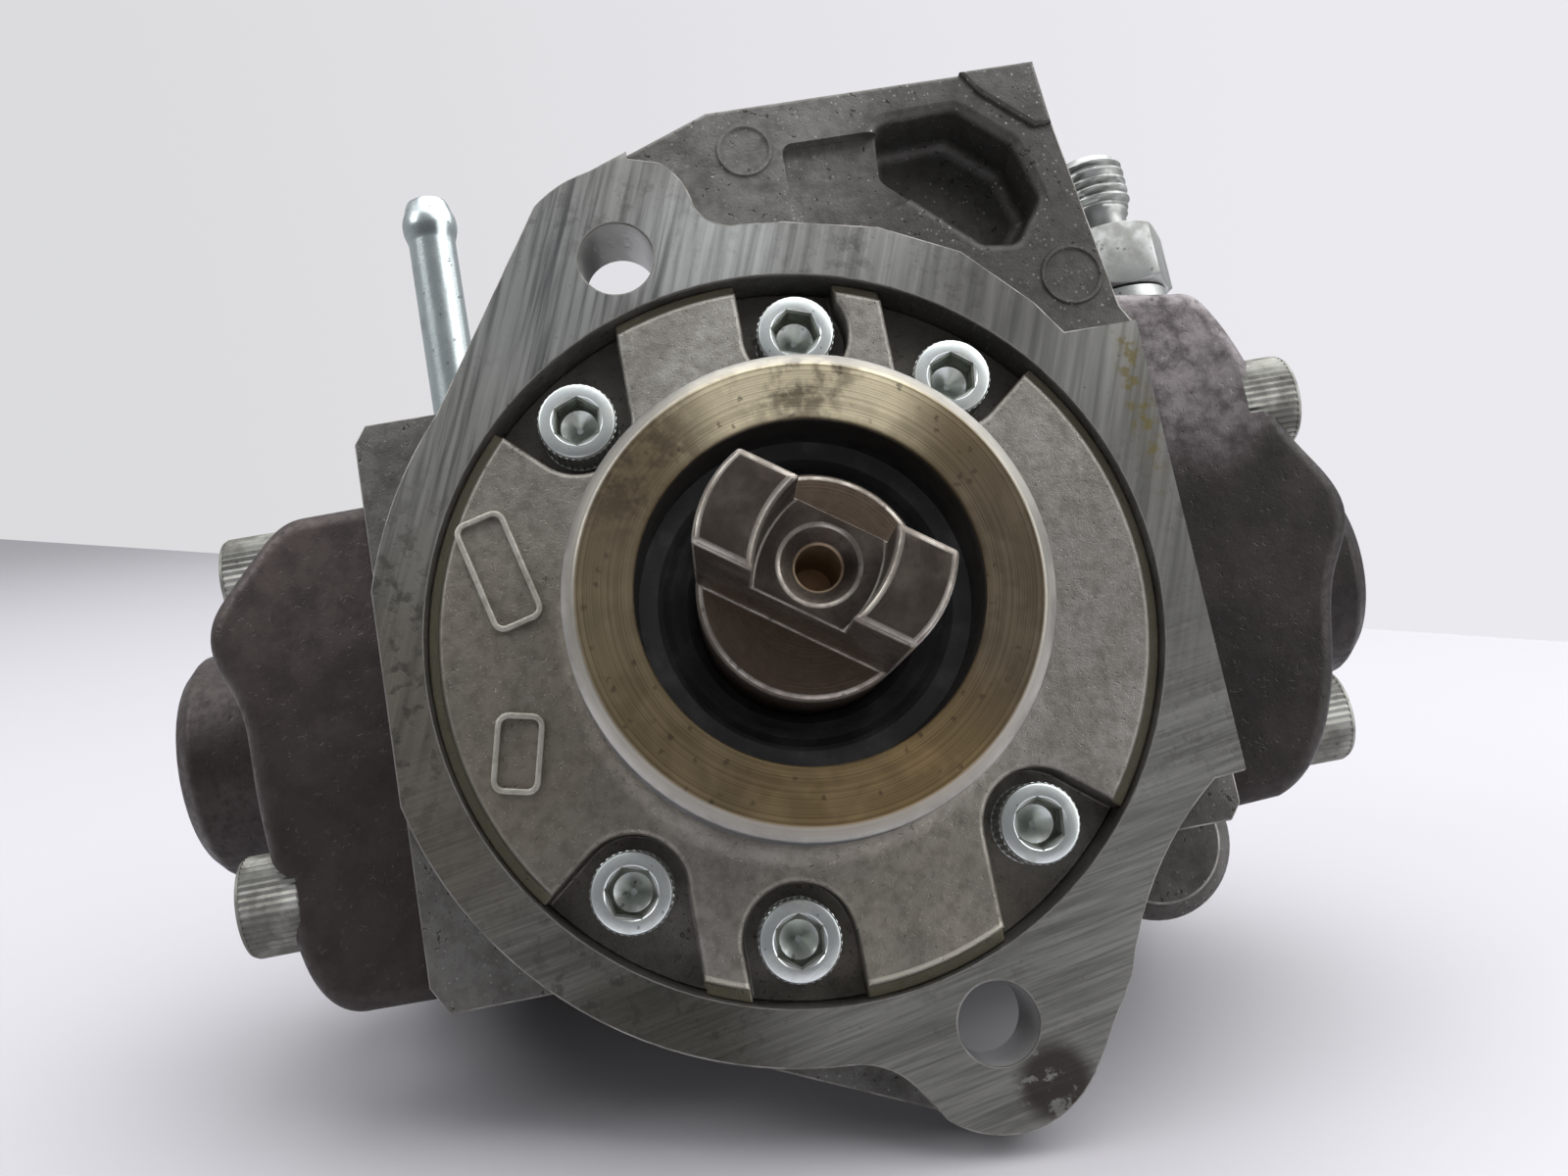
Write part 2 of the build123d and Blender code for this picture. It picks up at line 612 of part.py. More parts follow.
# Plungers, tappets and plunger springs
tappet_face = ring_half + eccentricity + cam_gap
spring_seat = tappet_face + tappet_t
spigot_face = block_x - spigot_depth
for side, name in ((1, "right"), (-1, "left")):
    with BuildPart() as plunger:
        turned_x([(spring_seat + static_gap, 0), (spring_seat + static_gap, plunger_r + 1.6),
                  (spring_seat + 1.5, plunger_r + 1.6), (spring_seat + 1.5, plunger_r - 0.8),
                  (spring_seat + 2.5, plunger_r - 0.8), (spring_seat + 2.5, plunger_r),
                  (spring_seat + plunger_length - 0.4, plunger_r), (spring_seat + plunger_length, plunger_r - 0.4),
                  (spring_seat + plunger_length, 0)], side)
    save(plunger, "plunger_" + name)

    with BuildPart() as tappet:
        turned_x([(tappet_face, 0), (tappet_face, tappet_r - 2.0), (tappet_face + 0.6, tappet_r - 0.6),
                  (tappet_face + 0.6, tappet_r), (spring_seat, tappet_r), (spring_seat, 0)], side)
    save(tappet, "tappet_" + name)

    with BuildPart() as plunger_spring:
        coil((side * (spring_seat + 0.1), plunger_y, 0), (side, 0, 0), tappet_r - 2.3, plunger_wire, plunger_turns,
             spigot_face - spring_seat - 0.2)
    save(plunger_spring, "plunger_spring_" + name)

# Heads: front outline of each, from the body's face outwards
right_outline = ((60.6, 37.9), (63.4, 37.0), (65.2, 34.6), (68.8, 25.2), (72.4, 14.4), (75.7, 8.6), (76.8, 3.6),
                 (75.2, -0.9), (73.1, -4.6), (71.0, -11.2), (69.3, -18.0), (67.2, -23.2), (63.7, -28.5), (58.4, -31.9))
left_outline = ((60.4, 26.9), (63.6, 26.0), (66.4, 23.6), (70.8, 18.8), (73.4, 15.2), (74.0, 11.2), (72.8, 7.2),
                (71.3, 3.0), (70.7, -4.0), (70.2, -12.0), (69.0, -20.7), (67.9, -26.4), (66.4, -31.6), (64.2, -34.8),
                (60.6, -36.4))
head_ends = {"right": (right_outline, 39.2, -32.2, 1), "left": (left_outline, 27.0, -36.6, -1)}
spigot_groove = block_x - 3.6
for name, (outline, top, bottom, side) in head_ends.items():
    face_x = block_x + static_gap
    with BuildPart() as head:
        with BuildSketch(front_plane(head_back)) as head_face:
            with BuildLine():
                profile = Spline(*[(side * x, z) for x, z in outline])
                Polyline(profile @ 1, (side * face_x, bottom), (side * face_x, top), profile @ 0)
            make_face()
        slab(head_front, head_back, head_face.sketch)
        outer_rim = head.faces().filter_by(Axis.Y).edges().filter_by(lambda rim: abs((rim @ 0.5).X) > face_x + 0.1)
        fillet(outer_rim, head_corner)
        turned_x([(face_x, 0), (face_x, boss_r), (boss_end - boss_edge, boss_r), (boss_end, boss_r - boss_edge),
                  (boss_end, 0)], side)
        if side > 0:
            turned_z([(0, 20.0), (union_boss_r, 20.0), (union_boss_r, union_boss_top - 0.8),
                      (union_boss_r - 0.8, union_boss_top), (0, union_boss_top)], union_x, plunger_y)
        # Spigot that plugs the side bore, with a groove for its ring
        turned_x([(spigot_face, 0), (spigot_face, side_bore_r - static_gap - 1), (spigot_face + 1, side_bore_r - static_gap),
                  (spigot_groove - head_ring_section - 0.2, side_bore_r - static_gap),
                  (spigot_groove - head_ring_section - 0.2, side_bore_r - head_ring_section),
                  (spigot_groove, side_bore_r - head_ring_section), (spigot_groove, side_bore_r - static_gap),
                  (face_x + 1, side_bore_r - static_gap), (face_x + 1, 0)], side)
        turned_x([(spigot_face, 0), (spigot_face, plunger_r + sliding_gap), (chamber_start, plunger_r + sliding_gap),
                  (chamber_start, 0)], side, mode=Mode.SUBTRACT)
        turned_x([(chamber_start, 0), (chamber_start, chamber_r), (plug_start, chamber_r), (plug_start, plug_r),
                  (boss_end, plug_r), (boss_end, 0)], side, mode=Mode.SUBTRACT)
        for y, z in head_bolt_spots(side):
            turned_x([(face_x, 0), (face_x, m8[0] + 0.4), (bolt_seat, m8[0] + 0.4), (bolt_seat, m8[1] + 1.0),
                      (boss_end, m8[1] + 1.0), (boss_end, 0)], side, y, z, Mode.SUBTRACT)
        if side > 0:
            turned_z([(0, union_boss_top - union_spigot_depth - 4.0), (union_bore_r, union_boss_top - union_spigot_depth - 4.0),
                      (union_bore_r, union_boss_top - union_spigot_depth - 1.0),
                      (union_spigot_r + thread_gap, union_boss_top - union_spigot_depth - 1.0),
                      (union_spigot_r + thread_gap, union_boss_top), (0, union_boss_top)], union_x, plunger_y, Mode.SUBTRACT)
    save(head, "head_" + name)

    with BuildPart() as head_o_ring:
        turned_x(swapped(tube(side_bore_r - head_ring_section + static_gap, side_bore_r - static_gap,
                              spigot_groove - head_ring_section - 0.1, spigot_groove - 0.1)), side)
    save(head_o_ring, "head_o_ring_" + name)

    with BuildPart() as head_bolts:
        for y, z in head_bolt_spots(side):
            turned_x([(bolt_seat - head_bolt_length, 0), (bolt_seat - head_bolt_length, m8[0]), (bolt_seat + static_gap, m8[0]),
                      (bolt_seat + static_gap, m8[1]), (bolt_seat + m8[2] - 0.6, m8[1]),
                      (bolt_seat + m8[2], m8[1] - 0.6), (bolt_seat + m8[2], 0)], side, y, z)
            with BuildSketch(Plane.YZ.offset(side * (bolt_seat + m8[2]))) as socket:
                with Locations((y, z)):
                    RegularPolygon(m8[1] * hex_socket_share, 6, major_radius=False)
            extrude(socket.sketch, amount=-side * m8[2] / 2, mode=Mode.SUBTRACT)
    save(head_bolts, "head_bolts_" + name)

    with BuildPart() as valve_plug:
        turned_x([(plug_start + 0.1, 0), (plug_start + 0.1, plug_r - thread_gap), (plug_end - 0.6, plug_r - thread_gap),
                  (plug_end, plug_r - 0.6 - thread_gap), (plug_end, 0)], side)
        with BuildSketch(Plane.YZ.offset(side * plug_end)) as socket:
            with Locations((plunger_y, 0)):
                RegularPolygon(plug_r / 2, 6, major_radius=False)
        extrude(socket.sketch, amount=-side * 6.0, mode=Mode.SUBTRACT)
    save(valve_plug, "valve_plug_" + name)

    with BuildPart() as suction_valve:
        turned_x([(poppet_start, 0), (poppet_start, 2.4), (poppet_start + 1.0, poppet_r), (poppet_start + poppet_t, poppet_r),
                  (poppet_start + poppet_t, 0)], side)
    save(suction_valve, "suction_valve_" + name)

    with BuildPart() as suction_spring:
        coil((side * (poppet_start + poppet_t + 0.1), plunger_y, 0), (side, 0, 0), 3.6, valve_wire, valve_turns,
             plug_start - poppet_start - poppet_t - 0.2)
    save(suction_spring, "suction_spring_" + name)

# High-pressure union with its washer, delivery ball and spring
spigot_bottom = union_boss_top - union_spigot_depth
ball_seat_z = spigot_bottom - 1.0
ball_z = ball_seat_z + math.sqrt(ball_r**2 - union_bore_r**2) + static_gap
spring_pocket_top = spigot_bottom + 9.0
with BuildPart() as high_pressure_union:
    turned_z([(union_bore_r, spring_pocket_top), (union_spigot_r - 1.6, spring_pocket_top), (union_spigot_r - 1.6, spigot_bottom),
              (union_spigot_r, spigot_bottom), (union_spigot_r, union_boss_top + washer_t),
              (union_collar_r, union_boss_top + washer_t), (union_collar_r, union_hex_bottom + 1.0),
              (4.6, union_hex_bottom + 1.0), (4.6, union_neck_top), (union_thread_r, union_neck_top + 0.8),
              (union_thread_r, union_tip - 1.0), (union_thread_r - 1.0, union_tip), (4.0, union_tip),
              (union_bore_r, union_tip - 3.0)], union_x, plunger_y)
    with BuildSketch(Plane.XY.offset(union_hex_bottom)) as nut:
        with Locations((union_x, plunger_y)):
            RegularPolygon(union_hex / 2, 6, major_radius=False)
            Circle(4.0, mode=Mode.SUBTRACT)
    extrude(nut.sketch, amount=union_hex_top - union_hex_bottom)
save(high_pressure_union, "high_pressure_union")

with BuildPart() as union_washer:
    turned_z(tube(union_spigot_r + 0.2, union_collar_r, union_boss_top + static_gap, union_boss_top + washer_t - static_gap),
             union_x, plunger_y)
save(union_washer, "union_washer")

with BuildPart() as delivery_ball:
    with Locations((union_x, plunger_y, ball_z)):
        Sphere(ball_r)
save(delivery_ball, "delivery_ball")

with BuildPart() as delivery_spring:
    coil((union_x, plunger_y, ball_z + ball_r + 0.1), (0, 0, 1), 2.2, valve_wire, 3.0,
         spring_pocket_top - ball_z - ball_r - 0.2)
save(delivery_spring, "delivery_spring")

# Return pipe with its hose bead
with BuildPart() as return_pipe:
    turned_z([(return_bore_r, return_boss_top - return_depth + 0.1), (return_r, return_boss_top - return_depth + 0.1),
              (return_r, return_top - 7.6), (return_r + 0.15, return_top - 7.0), (return_bead_r, return_top - 5.6),
              (return_bead_r, return_top - 3.4), (return_r - 0.1, return_top - 1.0), (return_r - 0.6, return_top),
              (return_bore_r, return_top)], return_x, return_y)
save(return_pipe, "return_pipe")

# Feed pump: trochoid rotors. The outer rotor's inward lobes are round pins, and the inner
# rotor is the curve that rolls on them.
inner_pin_r = rotor_pin_r + rotor_gap
rolling_ratio = rotor_pin_circle / (rotor_offset * (rotor_lobes + 1))


def rotor_point(turn):
    """Point of the inner rotor's outline at a parameter from 0 to 2 pi."""
    lean = math.atan2(-math.sin(rotor_lobes * turn), rolling_ratio - math.cos(rotor_lobes * turn))
    x = rotor_pin_circle * math.cos(turn) - inner_pin_r * math.cos(turn + lean)
    z = rotor_pin_circle * math.sin(turn) - inner_pin_r * math.sin(turn + lean)
    x -= rotor_offset * math.cos((rotor_lobes + 1) * turn)
    z -= rotor_offset * math.sin((rotor_lobes + 1) * turn)
    return (x, z)


rotor_front = rear_wall_back + running_gap
rotor_back = block_back - running_gap
with BuildPart() as inner_rotor:
    with BuildSketch(front_plane(rotor_back)) as rotor_face:
        with BuildLine():
            lobe_turn = 2 * math.pi / rotor_lobes
            for lobe in range(rotor_lobes):
                first = lobe * lobe_turn
                last = first + lobe_turn
                lobe_points = [rotor_point(first + lobe_turn * step / rotor_points) for step in range(rotor_points + 1)]
                Spline(*lobe_points, tangents=((-math.sin(first), math.cos(first)), (-math.sin(last), math.cos(last))))
        make_face()
        Circle(rotor_seat_r + static_gap, mode=Mode.SUBTRACT)
        with Locations((0, rotor_seat_r)):
            Rectangle(key_width + 2 * static_gap, key_height + 2 * static_gap, mode=Mode.SUBTRACT)
    slab(rotor_front, rotor_back, rotor_face.sketch)
save(inner_rotor, "inner_rotor")

with BuildPart() as rotor_key:
    block(rear_wall_back + 1.0 + static_gap, rear_wall_back + 1.0 + key_length - static_gap,
          (-key_width / 2 + static_gap, key_floor + static_gap), (key_width / 2 - static_gap, key_floor + key_height - static_gap))
save(rotor_key, "rotor_key")

valley_r = rotor_pin_circle - rotor_pin_r + 2 * rotor_offset + 2 * rotor_gap
with BuildPart() as outer_rotor:
    with BuildSketch(front_plane(rotor_back)) as rotor_ring:
        with Locations((-rotor_offset, 0)):
            Circle(rotor_outer_r)
            Circle(valley_r, mode=Mode.SUBTRACT)
            with PolarLocations(rotor_pin_circle, rotor_lobes + 1):
                Circle(rotor_pin_r)
            Circle(rotor_outer_r, mode=Mode.INTERSECT)
    slab(rotor_front, rotor_back, rotor_ring.sketch)
save(outer_rotor, "outer_rotor")

# Rear cover with the inlet boss and its sealing ring
rear_face = block_back + rear_cover_t
rear_end = rear_face + rear_boss_t
with BuildPart() as rear_cover:
    turned_y([(0, block_back + static_gap), (rear_cover_r, block_back + static_gap), (rear_cover_r, rear_face - 1.0),
              (rear_cover_r - 1.0, rear_face), (rear_boss_r + 2.0, rear_face), (rear_boss_r, rear_face + 2.0),
              (rear_boss_r, rear_end - 1.5), (rear_boss_r - 1.5, rear_end), (0, rear_end)])
    disc(rear_face - 1.0, rear_end + 3.0, inlet_r + 4.5, (0, inlet_z))
    turned_y(tube(rear_ring_r - 1.1, rear_ring_r + 1.1, block_back, block_back + rear_ring_section), mode=Mode.SUBTRACT)
    disc(block_back, shaft_back + 1.0, rotor_seat_r + 0.8, mode=Mode.SUBTRACT)
    for spot in rear_bolt_spots:
        disc(block_back, rear_face, m6[0] + 0.3, spot, Mode.SUBTRACT)
        disc(rear_face, rear_end + 4.0, m6[1] + 1.0, spot, Mode.SUBTRACT)
    disc(rear_face - 2.0, rear_end + 3.0, inlet_r + static_gap, (0, inlet_z), Mode.SUBTRACT)
save(rear_cover, "rear_cover")

with BuildPart() as rear_cover_o_ring:
    turned_y(tube(rear_ring_r - 1.0, rear_ring_r + 1.0, block_back + static_gap, block_back + rear_ring_section - 0.05))
save(rear_cover_o_ring, "rear_cover_o_ring")

with BuildPart() as inlet_pipe:
    turned_y([(inlet_bore_r, rear_face - 1.9), (inlet_r, rear_face - 1.9), (inlet_r, inlet_end - 8.0),
              (inlet_bead_r, inlet_end - 5.8), (inlet_bead_r, inlet_end - 3.6), (inlet_r - 0.2, inlet_end - 1.0),
              (inlet_r - 0.6, inlet_end), (inlet_bore_r, inlet_end)], (0, inlet_z))
save(inlet_pipe, "inlet_pipe")

# Suction control valve: sleeve and can, plastic connector, needle, spring, ring and screws
sleeve_front = control_bore_front + 5.0
control_flange_back = block_back + control_flange_t
with BuildPart() as control_valve:
    turned_y([(needle_r + sliding_gap, sleeve_front), (control_bore_r - 0.5, sleeve_front), (control_bore_r - static_gap, sleeve_front + 0.5),
              (control_bore_r - static_gap, block_back - 6.0), (control_bore_r - 1.8, block_back - 6.0),
              (control_bore_r - 1.8, block_back - 3.8), (control_bore_r - static_gap, block_back - 3.8),
              (control_bore_r - static_gap, block_back + static_gap), (control_can_r, block_back + static_gap),
              (control_can_r, control_can_end - 1.0), (control_can_r - 1.0, control_can_end), (0, control_can_end),
              (0, control_flange_back + 6.0), (needle_r + sliding_gap, control_flange_back + 6.0)], control_centre)
    with BuildSketch(front_plane(control_flange_back)) as ears:
        with Locations(control_centre):
            SlotCenterToCenter(2 * control_screw_pitch, 2 * control_ear_r)
            Circle(needle_r + 2.0, mode=Mode.SUBTRACT)
        with Locations(*control_screw_spots):
            Circle(m5[0] + 0.3, mode=Mode.SUBTRACT)
    slab(block_back + static_gap, control_flange_back, ears.sketch)
save(control_valve, "control_valve")

with BuildPart() as control_connector:
    with BuildSketch(Plane.XY.offset(control_z + control_can_r + static_gap)) as socket_base:
        with Locations((control_x, 93.0)):
            RectangleRounded(13.0, 18.0, 2.0)
    extrude(socket_base.sketch, amount=6.0)
    with BuildSketch(front_plane(116.0)) as shell:
        with Locations((control_x, control_z + control_can_r + 8.0)):
            RectangleRounded(18.0, 13.0, 2.5)
    slab(86.0, 116.0, shell.sketch)
    with BuildSketch(front_plane(116.0)) as hollow_shell:
        with Locations((control_x, control_z + control_can_r + 8.0)):
            RectangleRounded(14.8, 9.8, 1.5)
    slab(103.0, 116.0, hollow_shell.sketch, Mode.SUBTRACT)
    disc(80.0, 106.0, control_can_r + static_gap, control_centre, Mode.SUBTRACT)
save(control_connector, "control_connector")

with BuildPart() as control_o_ring:
    turned_y(tube(control_bore_r - 1.8 + static_gap, control_bore_r - static_gap, block_back - 5.9, block_back - 3.9), control_centre)
save(control_o_ring, "control_o_ring")

with BuildPart() as control_needle:
    turned_y([(0, sleeve_front - 2.0), (needle_r - 1.2, sleeve_front - 2.0), (needle_r, sleeve_front + 1.0),
              (needle_r, sleeve_front + needle_length), (0, sleeve_front + needle_length)], control_centre)
save(control_needle, "control_needle")

needle_spring_start = sleeve_front + needle_length + 0.1
with BuildPart() as control_spring:
    coil((control_x, needle_spring_start, control_z), (0, 1, 0), 2.2, valve_wire, valve_turns,
         control_flange_back + 6.0 - needle_spring_start - 0.1)
save(control_spring, "control_spring")

with BuildPart() as control_screws:
    for spot in control_screw_spots:
        disc(control_flange_back + static_gap, control_flange_back + m5[2], m5[1], spot)
        disc(control_flange_back - 14.0, control_flange_back + 1.0, m5[0], spot)
        hexagon(control_flange_back + m5[2] / 2, control_flange_back + m5[2], 2 * m5[1] * hex_socket_share, spot, Mode.SUBTRACT)
save(control_screws, "control_screws")

# Regulating valve: piston, spring and plug
with BuildPart() as regulator_piston:
    piston_front = regulator_bore_front + 1.0
    turned_y([(0, piston_front), (regulator_bore_r - 1.0, piston_front), (regulator_bore_r - sliding_gap, piston_front + 1.0),
              (regulator_bore_r - sliding_gap, piston_front + piston_length), (3.2, piston_front + piston_length),
              (3.2, piston_front + 3.0), (0, piston_front + 3.0)], regulator_centre)
save(regulator_piston, "regulator_piston")

plug_face = regulator_back - 8.0
with BuildPart() as regulator_spring:
    coil((regulator_x, piston_front + 3.1, regulator_z), (0, 1, 0), 2.4, valve_wire, 7.0, plug_face - piston_front - 3.2)
save(regulator_spring, "regulator_spring")

with BuildPart() as regulator_plug:
    disc(plug_face, regulator_back + 0.5, regulator_bore_r - thread_gap, regulator_centre)
    turned_y([(0, regulator_back + static_gap), (8.4, regulator_back + static_gap), (8.4, regulator_back + 1.4), (0, regulator_back + 1.4)],
             regulator_centre)
    hexagon(regulator_back + 1.0, regulator_back + 7.0, 14.0, regulator_centre)
save(regulator_plug, "regulator_plug")

# Fuel temperature sensor and its connector
with BuildPart() as temperature_sensor:
    disc(block_back - sensor_depth, block_back + 1.0, sensor_thread_r, sensor_centre)
    hexagon(block_back + static_gap, block_back + 6.0, sensor_hex, sensor_centre)
    disc(block_back + 5.0, block_back + 8.0, 8.0, sensor_centre)
save(temperature_sensor, "temperature_sensor")

with BuildPart() as sensor_connector:
    disc(block_back + 8.0 + static_gap, block_back + 14.0, 7.2, sensor_centre)
    with BuildSketch(front_plane(block_back + 28.0)) as plug_shell:
        with Locations(sensor_centre):
            RectangleRounded(15.0, 11.0, 2.0)
    slab(block_back + 12.0, block_back + 28.0, plug_shell.sketch)
    with BuildSketch(front_plane(block_back + 28.0)) as plug_hollow:
        with Locations(sensor_centre):
            RectangleRounded(12.0, 8.0, 1.2)
    slab(block_back + 17.0, block_back + 28.0, plug_hollow.sketch, Mode.SUBTRACT)
save(sensor_connector, "sensor_connector")
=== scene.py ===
"""Studio scene of a diesel injection pump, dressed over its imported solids."""

import logging
import math
from dataclasses import dataclass
from enum import Enum
from functools import cached_property

import bmesh
import bpy
from mathutils import Matrix, Vector
from mathutils.geometry import delaunay_2d_cdt


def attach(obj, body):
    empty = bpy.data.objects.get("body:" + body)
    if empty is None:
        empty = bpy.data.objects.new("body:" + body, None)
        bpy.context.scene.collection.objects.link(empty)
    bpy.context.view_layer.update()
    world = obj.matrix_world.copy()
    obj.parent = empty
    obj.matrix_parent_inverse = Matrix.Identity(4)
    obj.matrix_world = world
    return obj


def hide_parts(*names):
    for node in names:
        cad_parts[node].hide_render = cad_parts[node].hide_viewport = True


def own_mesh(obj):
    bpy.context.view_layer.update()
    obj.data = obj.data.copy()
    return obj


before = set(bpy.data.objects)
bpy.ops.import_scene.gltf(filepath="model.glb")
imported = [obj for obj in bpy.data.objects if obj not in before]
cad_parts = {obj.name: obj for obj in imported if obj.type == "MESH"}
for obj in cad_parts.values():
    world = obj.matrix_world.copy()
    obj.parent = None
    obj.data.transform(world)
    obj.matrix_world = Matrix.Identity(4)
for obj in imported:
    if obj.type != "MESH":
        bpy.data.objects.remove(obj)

LOG = logging.getLogger("pump_scene")
MM = 0.001
Color = tuple[float, float, float]
Pair = tuple[float, float]
Node = bpy.types.Node
Socket = bpy.types.NodeSocket
Piece = bpy.types.Object


class Side(Enum):
    """The side of the pump that a head sits on, with the sign of its X axis."""

    RIGHT = 1
    LEFT = -1

    @property
    def word(self) -> str:
        """Give the side's word as the node names have it."""
        return self.name.lower()


class Graph:
    """A node tree with short calls for the nodes that the finishes use."""

    def __init__(self, tree: bpy.types.NodeTree) -> None:
        """Keep the tree."""
        self.tree = tree

    def put(self, socket: Socket, value: object) -> None:
        """Link or set one input.

        Args:
            socket: The input to fill.
            value: Another socket, or a number, colour or vector.
        """
        if isinstance(value, Socket):
            self.tree.links.new(value, socket)
        elif isinstance(value, tuple) and len(value) == 3 and socket.type == "RGBA":
            socket.default_value = (*value, 1.0)
        else:
            socket.default_value = value

    def node(self, kind: str, inputs: dict | None = None, **settings: object) -> Node:
        """Add a node.

        Args:
            kind: The node's type name after the word ShaderNode.
            inputs: Values or sockets by input name or number.
            settings: Properties of the node itself.

        Returns:
            The new node.
        """
        made = self.tree.nodes.new("ShaderNode" + kind)
        for name, value in settings.items():
            setattr(made, name, value)
        for name, value in (inputs or {}).items():
            self.put(made.inputs[name], value)
        return made

    def math(self, operation: str, a: object, b: object = 0.0, clamp: bool = False) -> Socket:
        """Join two values by an operation, with the result held between 0 and 1 if asked."""
        return self.node("Math", {0: a, 1: b}, operation=operation, use_clamp=clamp).outputs[0]

    def plus(self, a: object, b: object, clamp: bool = False) -> Socket:
        """Add two values."""
        return self.math("ADD", a, b, clamp)

    def minus(self, a: object, b: object) -> Socket:
        """Take the second value from the first."""
        return self.math("SUBTRACT", a, b)

    def times(self, first: object, *others: object) -> Socket:
        """Multiply values.

        Args:
            first: The first value or socket.
            others: The values or sockets that it is multiplied by in turn.

        Returns:
            The product's socket.
        """
        for other in others:
            first = self.math("MULTIPLY", first, other)
        return first

    def away(self, x: object, z: object) -> Socket:
        """Give the distance from the origin of the plane."""
        return self.math("SQRT", self.plus(self.times(x, x), self.times(z, z)))

    def step(self, value: object, low: object, high: object) -> Socket:
        """Rise smoothly from 0 at low to 1 at high."""
        inputs = {"Value": value, "From Min": low, "From Max": high}
        return self.node("MapRange", inputs, interpolation_type="SMOOTHSTEP").outputs["Result"]

    def mix(self, share: object, a: object, b: object, blend: str = "MIX") -> Socket:
        """Mix a share of the second colour into the first."""
        inputs = {0: share, 6: a, 7: b}
        return self.node("Mix", inputs, data_type="RGBA", blend_type=blend, clamp_factor=True).outputs[2]

    def blend(self, share: object, a: object, b: object) -> Socket:
        """Mix a share of the second value into the first."""
        return self.node("Mix", {0: share, 2: a, 3: b}, data_type="FLOAT", clamp_factor=True).outputs[0]

    def over(self, color: object, tint: object, mask: object, share: float) -> Socket:
        """Lay a share of a tint over a colour where the mask is."""
        return self.mix(self.times(mask, share), color, tint)

    def scaled(self, color: object, factors: Color) -> Socket:
        """Multiply a colour by one factor for each channel."""
        return self.mix(1.0, color, factors, "MULTIPLY")

    def lined(self, color: object, tone: Socket, bright: Color, dim: Color) -> Socket:
        """Brighten and dim a colour along the lines of a tone between 0.34 and 0.66."""
        return self.mix(self.step(tone, 0.66, 0.34), self.scaled(color, bright), self.scaled(color, dim))

    def noise(self, vector: object, size: object, detail: float, rough: float) -> Socket:
        """Add noise whose features are about size wide.

        Args:
            vector: The point to read, in millimetres.
            size: Feature size in millimetres.
            detail: Octaves of the noise.
            rough: Strength of the finer octaves.

        Returns:
            The noise value's socket.
        """
        scale = self.math("DIVIDE", 1.0, size)
        inputs = {"Vector": vector, "Scale": scale, "Detail": detail, "Roughness": rough}
        return self.node("TexNoise", inputs).outputs["Fac"]

    def along(self, vector: object, operation: str, other: object) -> Socket:
        """Join two vectors by an operation."""
        return self.node("VectorMath", {0: vector, 1: other}, operation=operation).outputs[0]


